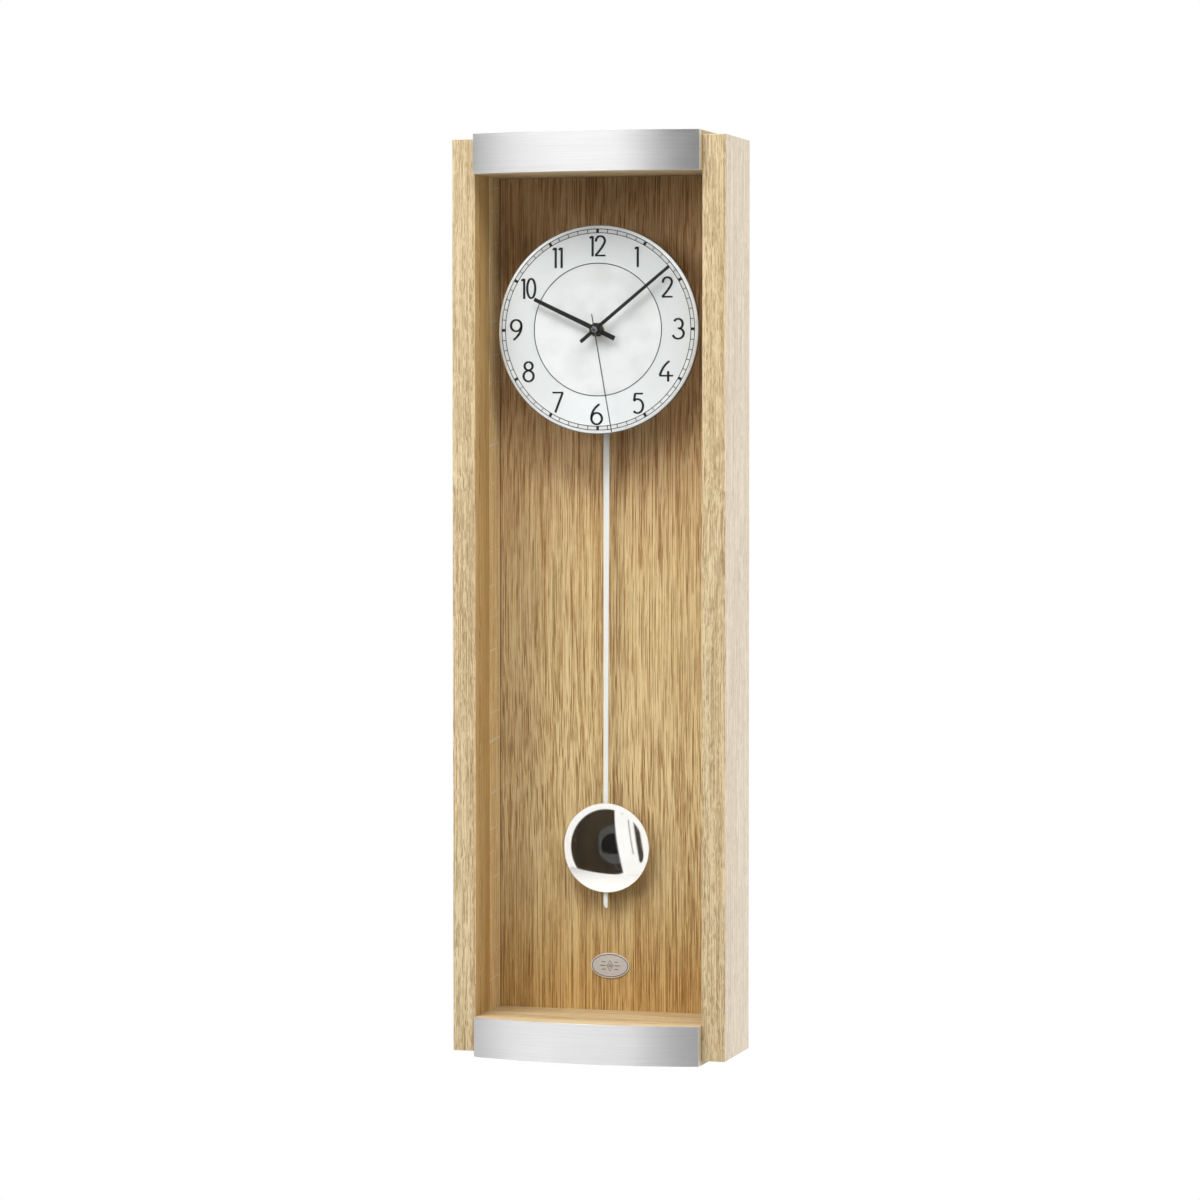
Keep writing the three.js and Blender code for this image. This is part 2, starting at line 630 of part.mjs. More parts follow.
function buildPendulum() {
  const cheek = (x0, x1) => block(x0, x1, coverBack + GLUE, -13.2, PIVOT_Z - 5, PIVOT_Z + 5);
  const stirrup = join(cheek(-9.4, -8), cheek(8, 9.4), block(-9.4, 9.4, -14.4, -13.2, PIVOT_Z - 5, PIVOT_Z + 5));
  const pinHole = rod(1, -15, -12).translate(0, 0, PIVOT_Z);
  place(work, "pendulum_bracket", cut(stirrup, pinHole), whitePlastic);
  place(work, "pendulum_pivot_pin", rod(0.8, coverBack + GLUE, -12.9).translate(0, 0, PIVOT_Z), steel);

  const lever = join(
    plate(outline([[-2.4, PIVOT_Z], [2.4, PIVOT_Z], [2.4, HOOK_Z], [-2.4, HOOK_Z]]), HANGER_Y0, HANGER_Y1),
    rod(4, HANGER_Y0, HANGER_Y1, 20).translate(0, 0, PIVOT_Z),
    rod(5.8, HANGER_Y0, HANGER_Y1, 24).translate(0, 0, MAGNET_Z),
    rod(EYE, HANGER_Y0, HANGER_Y1, 16).translate(0, 0, HOOK_Z),
    rod(1.1, coverBack + 0.6, HANGER_Y0 + 0.5).translate(0, 0, HOOK_Z),
  );
  const bearing = rod(0.95, HANGER_Y0 - 1, HANGER_Y1 + 1).translate(0, 0, PIVOT_Z);
  const seat = rod(4.2, HANGER_Y0 - 1, HANGER_Y1 + 1, 24).translate(0, 0, MAGNET_Z);
  place(work, "pendulum_hanger", cut(lever, bearing, seat), whitePlastic);
  place(work, "pendulum_magnet", rod(4, -19, HANGER_Y1 + 0.1, 24).translate(0, 0, MAGNET_Z), steel);

  const half = ROD_WIDTH / 2;
  const tip = ROD_TIP_Z - AXIS_Z;
  const strip = new THREE.Shape();
  const neck = Math.asin(half / EYE);
  strip.moveTo(half, tip + 2.6);
  strip.absarc(0, HOOK_Z, EYE, -Math.PI / 2 + neck, (3 * Math.PI) / 2 - neck, false);
  strip.lineTo(-half, tip + 2.6);
  strip.lineTo(-half * 0.35, tip);
  strip.lineTo(half * 0.35, tip);
  strip.closePath();
  strip.holes.push(circle(0, HOOK_Z, 1.4));
  const rodFront = ROD_Y - ROD_THICKNESS / 2;
  place(work, "pendulum_rod", plate(strip, rodFront, rodFront + ROD_THICKNESS, 12), aluminium);

  // The bob is a hollow domed shell on a flat disc, hung on the rod by a clip on its back.
  const discBack = rodFront - 0.2;
  const discFront = discBack - 0.8;
  place(bench, "bob_back_disc", rod(BOB_RADIUS - 1.5, discFront, discBack, 32).translate(0, 0, BOB_Z), nickel);
  const rim = discFront - GLUE;
  const dome = (inset) => {
    const rise = BOB_RISE - inset;
    const reach = BOB_RADIUS - inset;
    const curve = (reach ** 2 + rise ** 2) / (2 * rise);
    const spread = Math.asin(reach / curve);
    return Array.from({ length: 9 }, (_, i) => {
      const angle = (spread * i) / 8;
      return [curve * Math.sin(angle), rim - rise + curve - curve * Math.cos(angle)];
    });
  };
  const shell = turned([...dome(0), ...dome(0.9).reverse()], 36);
  place(bench, "bob_shell", shell.translate(0, 0, BOB_Z), nickel);
  const ear = half + 0.3;
  const clipFront = rodFront + ROD_THICKNESS + 0.2;
  const clip = outline([
    [-ear - 1.5, discBack + GLUE],
    [-ear, discBack + GLUE],
    [-ear, clipFront],
    [ear, clipFront],
    [ear, discBack + GLUE],
    [ear + 1.5, discBack + GLUE],
    [ear + 1.5, clipFront + 0.8],
    [-ear - 1.5, clipFront + 0.8],
  ]);
  place(bench, "bob_clip", upright(clip, BOB_Z - 6, BOB_Z + 6), steel);
}

// ---------------------------------------------------------------- hands
// A tapered blade along +Z from its tail to its tip.
function blade(tip, tail, hubWidth, tipWidth, y0, y1) {
  const a = hubWidth / 2;
  const b = tipWidth / 2;
  return plate(outline([[-a, -tail], [a, -tail], [a, 0], [b, tip], [-b, tip], [-a, 0]]), y0, y1);
}

function buildHands() {
  const hour = join(blade(50.3, 14.9, 3.4, 2.7, -46.1, -45.4), rod(4.6, -46.3, -44.9, 24));
  const minute = join(blade(69.4, 13.8, 2.6, 2.1, -48.4, -47.7), rod(4.2, -48.9, -47.2, 24));
  const second = join(blade(73, 10.9, 0.8, 0.7, -50.5, -50.1), rod(2.5, -51.5, -49.6, 20));
  const hands = [
    ["hour_hand", cut(hour, rod(2.8, -47, -44, 20)), HOUR_ANGLE],
    ["minute_hand", cut(minute, rod(2.1, -50, -46, 20)), MINUTE_ANGLE],
    ["second_hand", cut(second, rod(0.85, -51.1, -49)), SECOND_ANGLE],
  ];
  for (const [name, geometry, angle] of hands) {
    place(work, name, geometry, handBlack).rotation.y = radians(angle);
  }
}

buildPillars();
buildBoards();
buildPane();
buildBackPanel();
buildHanger();
buildBadge();
buildDial();
buildMovementCase();
buildGoingTrain();
buildMotionWork();
buildElectrics();
buildPendulum();
buildHands();

export default clock;
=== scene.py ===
"""Looks for the pendulum wall clock: oak case, brushed bands, printed dial, polished bob and movement.

Lengths inside a shape are millimetres, and the frame's are metres. X is to the right, -Y is the front, and +Z
is up.
"""

import json
from math import asin, cos, hypot, pi, radians, sin, tau

import bmesh
import bpy
from mathutils import Matrix, Vector

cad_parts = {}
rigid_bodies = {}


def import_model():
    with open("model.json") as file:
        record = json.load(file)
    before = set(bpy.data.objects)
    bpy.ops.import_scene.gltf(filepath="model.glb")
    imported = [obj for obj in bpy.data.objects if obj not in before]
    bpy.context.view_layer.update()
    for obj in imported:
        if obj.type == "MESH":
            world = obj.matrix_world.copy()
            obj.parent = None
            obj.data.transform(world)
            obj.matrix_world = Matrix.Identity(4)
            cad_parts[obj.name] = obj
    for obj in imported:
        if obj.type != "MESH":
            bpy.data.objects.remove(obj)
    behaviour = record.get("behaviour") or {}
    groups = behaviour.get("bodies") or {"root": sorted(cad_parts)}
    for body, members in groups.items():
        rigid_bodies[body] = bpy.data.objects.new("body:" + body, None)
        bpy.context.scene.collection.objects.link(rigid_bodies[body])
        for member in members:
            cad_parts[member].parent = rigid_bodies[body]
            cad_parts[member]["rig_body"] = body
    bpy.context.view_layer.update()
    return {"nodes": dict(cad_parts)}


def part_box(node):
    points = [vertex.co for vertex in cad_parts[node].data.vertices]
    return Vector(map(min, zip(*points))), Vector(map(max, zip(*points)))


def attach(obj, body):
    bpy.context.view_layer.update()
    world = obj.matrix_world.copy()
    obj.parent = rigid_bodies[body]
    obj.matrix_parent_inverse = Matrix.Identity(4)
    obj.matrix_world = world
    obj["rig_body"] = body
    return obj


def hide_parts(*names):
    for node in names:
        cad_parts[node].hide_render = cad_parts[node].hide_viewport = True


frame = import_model()
MM = 0.001  # metres in a millimetre


# ---------------------------------------------------------------- node trees
def put(links, socket, value):
    """Links a socket, or sets its value."""
    if isinstance(value, bpy.types.NodeSocket):
        links.new(value, socket)
    else:
        socket.default_value = value


class Tree:
    """A node tree, with short ways to add and join its nodes."""

    def __init__(self, node_tree):
        self.nodes = node_tree.nodes
        self.links = node_tree.links

    def set(self, node, **values):
        """Sets or links inputs by name, with _ for a space."""
        for key, value in values.items():
            name = key.replace("_", " ").lower()
            put(self.links, next(s for s in node.inputs if s.name.lower() == name and s.enabled), value)
        return node

    def add(self, kind, settings=None, **values):
        node = self.nodes.new("ShaderNode" + kind)
        for key, value in (settings or {}).items():
            setattr(node, key, value)
        return self.set(node, **values)

    def math(self, operation, *values):
        node = self.add("Math", {"operation": operation})
        for socket, value in zip(node.inputs, values):
            put(self.links, socket, value)
        return node.outputs[0]

    def vector_math(self, operation, first, second):
        node = self.add("VectorMath", {"operation": operation})
        for socket, value in zip(node.inputs, (first, second)):
            put(self.links, socket, value)
        return node

    def total(self, *shares):
        """The sum of values, each times its share."""
        result = 0.0
        for value, share in shares:
            result = self.math("MULTIPLY_ADD", value, share, result)
        return result

    def place(self, scale, offset=(0, 0, 0)):
        """Object coordinates in cycles per metre along each axis."""
        spot = self.add("TexCoord").outputs["Object"]
        return self.add("Mapping", Vector=spot, Location=offset, Scale=scale).outputs["Vector"]

    def noise(self, vector, detail=2.0, roughness=0.5, distortion=0.0):
        node = self.add("TexNoise", Vector=vector, Scale=1.0, Detail=detail)
        return self.set(node, Roughness=roughness, Distortion=distortion).outputs["Fac"]

    def between(self, value, low, high, to_low=0.0, to_high=1.0):
        """A smooth step from to_low, where the value is low, to to_high, where it is high."""
        node = self.add("MapRange", {"interpolation_type": "SMOOTHSTEP"}, Value=value)
        ends = {"From_Min": low, "From_Max": high, "To_Min": to_low, "To_Max": to_high}
        return self.set(node, **ends).outputs["Result"]

    def blend(self, factor, first, second, kind="MIX"):
        """A mix of two colours. The numbers are the colour sockets of the Mix node."""
        node = self.add("Mix", {"data_type": "RGBA", "blend_type": kind})
        for index, value in ((0, factor), (6, first), (7, second)):
            put(self.links, node.inputs[index], value)
        return node.outputs[2]


class Finish(Tree):
    """A material's nodes, with its Principled shader already in place."""

    def __init__(self, name, **surface):
        self.material = bpy.data.materials.new(name)
        self.material.use_nodes = True
        super().__init__(self.material.node_tree)
        self.shader = self.nodes["Principled BSDF"]
        self.output = self.nodes["Material Output"]
        self.set(self.shader, **surface)

    def relief(self, height, depth):
        """Bumps of that depth in metres."""
        node = self.add("Bump", Strength=1.0, Distance=depth, Height=height)
        self.set(self.shader, Normal=node.outputs["Normal"])


def rgb(red, green, blue):
    """A colour from its display values, 0 to 255."""
    shares = [value / 255 for value in (red, green, blue)]
    return tuple(s / 12.92 if s <= 0.04045 else ((s + 0.055) / 1.055) ** 2.4 for s in shares) + (1.0,)


def shaded(colour, share):
    """The colour made lighter or darker."""
    return tuple(min(1.0, channel * share) for channel in colour[:3]) + (1.0,)


# ---------------------------------------------------------------- materials
RAY_COLOUR = rgb(222, 206, 178)  # medullary rays
SEAM_SHADE = rgb(104, 72, 44)  # painted shade along the line where the panel meets the lining
ARRIS_HIGHLIGHT = rgb(236, 216, 180)  # painted highlight along the front edge of the lining

# How far the grain wanders: seed shift, cycles per metre across and along, and reach in metres.
SLOW_BEND = (1.0, 4, 2, 0.012)
RIPPLES = ((5.0, 30, 18, 0.0016), (9.0, 180, 120, 0.0005))
# Layers of the grain, in cycles per metre across and along it.
RING_GRAIN = (75, 0.8)
BAND_GRAIN = (420, 3)
FIBRE_GRAIN = (1450, 9)
# Layers that follow the pores, in cycles per metre across the grain and per pore length along it.
FINE_GRAIN = (1900, 0.45)
BREAK_GRAIN = (1200, 0.6)
SPECK_GRAIN = (1800, 1.2)
RAYS_PER_METRE = 42.0
GRAIN_DEPTH = 0.00012
PORE_SHARES = (0.52, 0.36, 0.24)  # the colour of a pore, as shares of the dark tone


def ray_flecks(tree, place, seed):
    """Short light streaks across the grain, in patches."""
    sway = tree.noise(tree.place((0, 0, 15), (seed, 0, seed)), detail=1)
    drift = tree.total((sway, 2.4), (place["Y"], -4.0))
    turn = tree.math("FRACT", tree.math("MULTIPLY_ADD", place["Z"], RAYS_PER_METRE, drift))
    falling = tree.between(turn, 0.95, 0.98, 1.0, 0.0)
    streaks = tree.math("MULTIPLY", tree.between(turn, 0.90, 0.93), falling)
    patches = tree.between(tree.noise(tree.place((40, 60, 60), (0, seed, 4)), detail=1), 0.40, 0.55)
    return tree.math("MULTIPLY", streaks, patches)


def oak(name, along, light, dark, seed, pores=0.5, pore_length=0.010, fleck=0.15, contrast=1.0, coat=0.0,
        ripple=1.0, tight=1.0, rays=0.0, edge=None, painted_shade_and_tints=()):
    """Open-grained oak under lacquer: slow rings, straight fibres and broken dark pores along one axis.

    pores, fleck and rays are the strengths of dark pores, light specks and ray flecks. ripple scales the
    small waves of the grain, and tight its fineness. edge is (axis, from, to, colour): a painted edge line,
    as shade on the panel and as a highlight on the lining, whose colour grows between those distances from
    the middle. The tints by height are (z from, z to, tint), and each tint is full at the second height.
    """
    tree = Finish(name, Specular_IOR_Level=0.4, Coat_Weight=coat, Coat_Roughness=0.18)
    lengthways = "XYZ".index(along)

    def axes(across, down):
        return [down if index == lengthways else across for index in range(3)]

    spot = tree.add("TexCoord").outputs["Object"]
    waves = [(*SLOW_BEND, 1.0)] + [(*wave, ripple) for wave in RIPPLES]
    for shift, across, down, reach, strength in waves:
        wander = tree.add("Mapping", Vector=spot, Location=(seed + shift,) * 3, Scale=axes(across, down))
        sway = tree.math("SUBTRACT", tree.noise(wander.outputs[0], detail=1), 0.5)
        sway = tree.math("MULTIPLY", sway, reach * strength)
        aside = tree.add("CombineXYZ")
        for index in range(3):
            put(tree.links, aside.inputs[index], 0.0 if index == lengthways else sway)
        spot = tree.vector_math("ADD", spot, aside.outputs[0]).outputs[0]

    def grain(across, down, shift, **options):
        offset = (seed + shift, seed * 1.7 - shift, seed * 0.6)
        spread = tree.add("Mapping", Vector=spot, Location=offset, Scale=axes(across, down)).outputs[0]
        return tree.noise(spread, detail=1, **options)

    def along_pores(layer, shift):
        across, per_pore = layer
        return grain(across * tight, per_pore / pore_length, shift)

    rings = grain(*RING_GRAIN, 3, roughness=0.4)
    bands = grain(*BAND_GRAIN, 5)
    fibres = grain(FIBRE_GRAIN[0] * tight, FIBRE_GRAIN[1], 7)
    fine = along_pores(FINE_GRAIN, 11)
    breaks = along_pores(BREAK_GRAIN, 13)
    specks = along_pores(SPECK_GRAIN, 17)

    tone = tree.total((rings, 0.10), (bands, 0.20), (fibres, 0.42), (fine, 0.28))
    half_range = 0.11 / contrast
    colour = tree.blend(tree.between(tone, 0.5 - half_range, 0.5 + half_range), dark, light)
    bright = tree.math("MULTIPLY", tree.between(specks, 0.55, 0.63), fleck)
    colour = tree.blend(bright, colour, shaded(light, 1.3))

    ring_line = tree.math("ABSOLUTE", tree.math("SUBTRACT", rings, 0.5))
    ring_line = tree.between(ring_line, 0.0, 0.016, 1.0, 0.0)
    vessels = tree.total((fibres, -0.8), (fine, -0.35), (breaks, 0.55), (ring_line, 0.08))
    deep = tree.between(vessels, -0.235, -0.18)
    burnt = tuple(channel * share for channel, share in zip(dark, PORE_SHARES)) + (1.0,)
    colour = tree.blend(tree.math("MULTIPLY", deep, pores), colour, burnt)

    place = tree.add("SeparateXYZ", Vector=tree.add("TexCoord").outputs["Object"]).outputs
    if rays:
        colour = tree.blend(tree.math("MULTIPLY", ray_flecks(tree, place, seed), rays), colour, RAY_COLOUR)
    # tints by height; the panel's upper one is painted shade
    for start, end, tint in painted_shade_and_tints:
        colour = tree.blend(tree.between(place["Z"], start, end), colour, tint, "MULTIPLY")
    # the painted edge line: shade on the panel, a highlight on the lining
    if edge:
        axis, start, end, paint = edge
        beyond = tree.between(tree.math("ABSOLUTE", place[axis]), start, end)
        colour = tree.blend(tree.math("MULTIPLY", beyond, 0.75), colour, paint)

    tree.set(tree.shader, Base_Color=colour, Roughness=tree.between(fibres, 0.3, 0.7, 0.6, 0.42))
    tree.relief(tree.total((fibres, 0.4), (fine, 0.2), (deep, -0.6)), GRAIN_DEPTH)
    return tree.material


ACROSS_TANGENT = 0.25  # of a turn
TURNING_MARKS = (3000, 3)  # cycles per metre across the dial ring's brush marks, and per radian along them


def brushed(name, colour, roughness, scale, anisotropy=0.0, depth=4e-6, metallic=1.0):
    """Metal brushed along the axis with the smallest scale, in cycles per metre."""
    tree = Finish(name, Metallic=metallic, Anisotropic=anisotropy)
    streaks = tree.noise(tree.place(scale), detail=4, roughness=0.65)
    cloud = tree.noise(tree.place((14, 14, 14), (5, 2, 8)), detail=3)
    rough = tree.between(streaks, 0.25, 0.75, roughness * 0.8, roughness * 1.25)
    rough = tree.math("ADD", rough, tree.between(cloud, 0.3, 0.7, -0.02, 0.02))
    tint = tree.blend(tree.between(streaks, 0.3, 0.7), shaded(colour, 0.88), colour)
    tree.set(tree.shader, Base_Color=tint, Roughness=rough)
    if anisotropy:
        tangent = tree.add("Tangent", {"direction_type": "RADIAL", "axis": "Z"})
        tree.set(tree.shader, Tangent=tangent.outputs["Tangent"], Anisotropic_Rotation=ACROSS_TANGENT)
    tree.relief(streaks, depth)
    return tree.material


def polished(name, colour, roughness=0.03):
    """Plated metal with faint wipe marks and a little dust."""
    tree = Finish(name, Base_Color=colour, Metallic=1.0)
    wipes = tree.noise(tree.place((40, 40, 90)), detail=5, roughness=0.7, distortion=0.8)
    dust = tree.between(tree.noise(tree.place((900, 900, 900)), detail=1), 0.78, 0.82, 0.0, 0.35)
    rough = tree.between(wipes, 0.35, 0.8, roughness, roughness * 2.4)
    tree.set(tree.shader, Roughness=tree.math("ADD", rough, dust))
    swell = tree.noise(tree.place((30, 30, 30), (3, 9, 1)), detail=1)
    tree.relief(swell, 3e-6)
    return tree.material


def moulded(name, colour, roughness, texture=2600, depth=1.2e-5, coat=0.0):
    """Moulded plastic, rubber, print or lacquer with a fine texture."""
    tree = Finish(name, Coat_Weight=coat, Coat_Roughness=0.25)
    grit = tree.noise(tree.place((texture,) * 3), detail=2)
    cloud = tree.noise(tree.place((60,) * 3, (4, 1, 6)), detail=3)
    tint = tree.blend(tree.between(cloud, 0.3, 0.7), shaded(colour, 0.93), shaded(colour, 1.06))
    rough = tree.between(grit, 0.3, 0.7, roughness * 0.88, roughness * 1.12)
    tree.set(tree.shader, Base_Color=tint, Roughness=rough)
    tree.relief(grit, depth)
    return tree.material


def silvered(name, colour, roughness, centre):
    """A dial ring brushed round its centre."""
    tree = Finish(name, Metallic=0.35, Anisotropic=0.95)
    arm = tree.vector_math("SUBTRACT", tree.add("TexCoord").outputs["Object"], centre)
    split = tree.add("SeparateXYZ", Vector=arm.outputs[0]).outputs
    squares = [tree.math("MULTIPLY", split[axis], split[axis]) for axis in "XZ"]
    radius = tree.math("SQRT", tree.math("ADD", *squares))
    angle = tree.math("ARCTAN2", split["X"], split["Z"])
    across, around = [tree.math("MULTIPLY", *pair) for pair in zip((radius, angle), TURNING_MARKS)]
    sweep = tree.add("CombineXYZ", X=across, Y=around)
    turns = tree.noise(sweep.outputs[0], detail=3, roughness=0.6)
    tint = tree.blend(turns, shaded(colour, 0.94), colour)
    rough = tree.between(turns, 0.3, 0.7, roughness * 0.9, roughness * 1.1)
    tree.set(tree.shader, Base_Color=tint, Roughness=rough)
    tangent = tree.add("Tangent", {"direction_type": "RADIAL", "axis": "Y"})
    tree.set(tree.shader, Tangent=tangent.outputs["Tangent"], Anisotropic_Rotation=ACROSS_TANGENT)
    tree.relief(turns, 1.5e-6)
    return tree.material


def clear_glass(name):
    """A float-glass pane that lets lamps reach what is behind it."""
    tree = Finish(name, Base_Color=(0.985, 0.995, 0.99, 1), Roughness=0.0, IOR=1.5, Transmission_Weight=1.0)
    tree.relief(tree.noise(tree.place((7, 7, 4)), detail=1), 2e-5)
    rays = tree.add("LightPath").outputs
    window = tree.add("BsdfTransparent", Color=(0.955, 0.965, 0.96, 1)).outputs[0]
    surface = tree.shader.outputs[0]
    for kind in ("Is Shadow Ray", "Is Diffuse Ray"):
        mix = tree.add("MixShader")
        for socket, value in zip(mix.inputs, (rays[kind], surface, window)):
            put(tree.links, socket, value)
        surface = mix.outputs[0]
    put(tree.links, tree.output.inputs["Surface"], surface)
    return tree.material


def middle(node):
    """A node's axis, as a point at y = 0."""
    low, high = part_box(node)
    return Vector(((low.x + high.x) / 2, 0, (low.z + high.z) / 2))


def round_size(node):
    """A round node's radius, and where it begins and ends along Y, in millimetres."""
    low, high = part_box(node)
    return (high.x - low.x) / 2 / MM, low.y / MM, high.y / MM


HAND_AXIS = middle("dial_disc")
BOB_CENTRE = middle("bob_shell")

# Light and dark tones of the wood of each part.
PILLAR = rgb(191, 173, 140), rgb(154, 133, 96)
# the inner wall's warmer tones are painted shade and bounce light of the recess
INNER_SHADED = rgb(196, 163, 108), rgb(164, 126, 72)
PANEL = rgb(207, 184, 139), rgb(162, 127, 79)
LINING = rgb(240, 214, 166), rgb(196, 157, 102)
BOARD = rgb(188, 166, 132), rgb(158, 133, 93)
PALE = rgb(196, 178, 146), rgb(174, 152, 114)

SHORT_GRAIN = {
    "pores": 0.45, "pore_length": 0.004, "fleck": 0.35, "contrast": 1.25, "coat": 1.0, "ripple": 1.5,
    "tight": 1.5,
}
OAK_LEFT = oak("oak_left_pillar", "Z", *PILLAR, 2.0, **SHORT_GRAIN)
OAK_RIGHT = oak("oak_right_pillar", "Z", *PILLAR, 9.0, **SHORT_GRAIN)
# the pillars' inner wall: its own calmer grain, in a warmer tone that is painted shade and bounce light
OAK_INNER_SHADED = oak("oak_inner_face_shaded", "Z", *INNER_SHADED, 13.0, pores=0.12, pore_length=0.02, fleck=0.1, contrast=0.6)
OAK_PANEL = oak(
    "oak_panel", "Z", *PANEL, 17.0, pores=0.6, pore_length=0.014, fleck=0.35, contrast=1.2, ripple=0.4,
    # the edge line is painted shade along the seams at the panel's sides
    tight=1.3, edge=("X", 0.0816, 0.0820, SEAM_SHADE),
    # the upper tint is painted shade under the top board, redder and darker; the lower one makes the panel
    # darker and warmer towards the bottom
    painted_shade_and_tints=[(-0.30, -0.12, (1.0, 0.86, 0.84, 1)), (-0.45, -0.58, (0.86, 0.73, 0.52, 1))],
)
OAK_LINING = oak(
    "oak_lining", "Z", *LINING, 23.0, pores=0.3, pore_length=0.006, contrast=0.8, rays=1.0,
    # the edge line is a painted highlight along the lining's front edge
    edge=("Y", 0.0124, 0.0120, ARRIS_HIGHLIGHT),
)
OAK_BOARD = oak("oak_board", "X", *BOARD, 31.0, pores=0.3, pore_length=0.008, contrast=0.8)
OAK_PALE = oak("oak_pale", "X", *PALE, 37.0, pores=0.15, pore_length=0.008, contrast=0.7)

BAND_METAL = brushed("band_aluminium", (0.86, 0.86, 0.87, 1), 0.42, (20, 20, 5200), anisotropy=0.95)
ROD_METAL = brushed("rod_aluminium", (0.83, 0.82, 0.81, 1), 0.5, (4200, 4200, 24), metallic=0.3)
BADGE_METAL = brushed("badge_nickel", (0.82, 0.75, 0.71, 1), 0.42, (30, 30, 4200), metallic=0.6)
BADGE_INK = moulded("badge_ink", (0.02, 0.017, 0.015, 1), 0.5, texture=3600, depth=2e-6)
ZINC = brushed("zinc_steel_finish", (0.66, 0.67, 0.69, 1), 0.36, (700, 700, 700), depth=3e-6)
LAMINATION = brushed("lamination_steel", (0.42, 0.43, 0.45, 1), 0.42, (900, 900, 900))
BRASS = brushed("brass_turned", (0.80, 0.60, 0.29, 1), 0.24, (500, 4000, 500))
COPPER = brushed("wound_copper", (0.62, 0.25, 0.10, 1), 0.32, (80, 9000, 80), depth=2e-5)
NICKEL_STRIP = brushed("nickel_strip", (0.74, 0.72, 0.67, 1), 0.28, (300, 300, 3000))
MIRROR = polished("bob_nickel", (0.93, 0.905, 0.885, 1))
RIM_METAL = brushed("dial_rim_metal", (0.92, 0.92, 0.93, 1), 0.4, (300, 300, 300), metallic=0.35)
EDGE_METAL = brushed("dial_edge_metal", (0.30, 0.32, 0.34, 1), 0.4, (60, 3000, 60))
SILVER = silvered("dial_silver", (0.80, 0.81, 0.825, 1), 0.5, HAND_AXIS)
DIAL_WHITE = moulded("dial_white", (0.62, 0.62, 0.625, 1), 0.55, texture=3200, depth=2e-6)
INK = moulded("dial_ink", (0.010, 0.010, 0.011, 1), 0.4, texture=3600, depth=3e-6)
HAND_LACQUER = moulded("hand_lacquer", (0.008, 0.008, 0.008, 1), 0.38, texture=2400, depth=6e-6, coat=0.15)
NEEDLE_LACQUER = moulded("needle_lacquer", (0.05, 0.05, 0.055, 1), 0.35, texture=2400, depth=4e-6)
CAP_METAL = polished("hand_cap_metal", (0.20, 0.20, 0.21, 1), 0.2)
BLACK_PLASTIC = moulded("black_plastic_finish", (0.018, 0.018, 0.020, 1), 0.5)
WHITE_PLASTIC = moulded("white_plastic_finish", (0.74, 0.73, 0.69, 1), 0.42)
GREEN_BOARD = moulded("circuit_board_green", (0.02, 0.11, 0.045, 1), 0.4)
SLEEVE = moulded("cell_sleeve_finish", (0.10, 0.11, 0.13, 1), 0.3, depth=4e-6, coat=0.5)
RUBBER = moulded("buffer_rubber_finish", (0.022, 0.022, 0.022, 1), 0.8, texture=1500, depth=3e-5)
GLASS = clear_glass("pane_glass")


# ---------------------------------------------------------------- building pieces
EASED_ANGLE = 38  # edges sharper than this are eased
EASE_STEPS = 2
WELD = 2e-6  # metres within which a CAD node's vertices are merged
FLAT_ANGLE = 0.4  # neighbouring facets flatter than this are merged


def finish_piece(obj, look, body, slot, replaces=(), bevel=0.0, smooth=35):
    """Gives a piece its material, eased edges and smooth shading, and joins it to its body.

    bevel is in millimetres, and edges flatter than smooth, in degrees, are shaded as round.
    """
    obj.data.materials.clear()
    obj.data.materials.append(look)
    if bevel:
        ease = obj.modifiers.new("eased_edges", "BEVEL")
        ease.width = bevel * MM
        ease.segments = EASE_STEPS
        ease.limit_method = "ANGLE"
        ease.angle_limit = radians(EASED_ANGLE)
        ease.harden_normals = True
    obj.data.shade_smooth()
    obj.data.set_sharp_from_angle(angle=radians(smooth))
    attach(obj, body)
    if replaces:
        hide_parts(*replaces)
    return obj


def link(name, data):
    """Puts a mesh, a lamp or a camera in the scene."""
    obj = bpy.data.objects.new(name, data)
    bpy.context.scene.collection.objects.link(obj)
    return obj


def dress(node, look, bevel=0.0, smooth=35):
    """Stands in for a CAD node with the same shape, its facets merged and its edges eased."""
    source = frame["nodes"][node]
    bm = bmesh.new()
    bm.from_mesh(source.data)
    bmesh.ops.remove_doubles(bm, verts=bm.verts, dist=WELD)
    bmesh.ops.dissolve_limit(bm, angle_limit=radians(FLAT_ANGLE), verts=bm.verts, edges=bm.edges)
    for face in bm.faces:
        face.material_index = 0
    mesh = bpy.data.meshes.new(node + "_piece")
    bm.to_mesh(mesh)
    bm.free()
    piece = link(node + "_piece", mesh)
    slot = source.data.materials[0].name
    return finish_piece(piece, look, source["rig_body"], slot, [node], bevel=bevel, smooth=smooth)


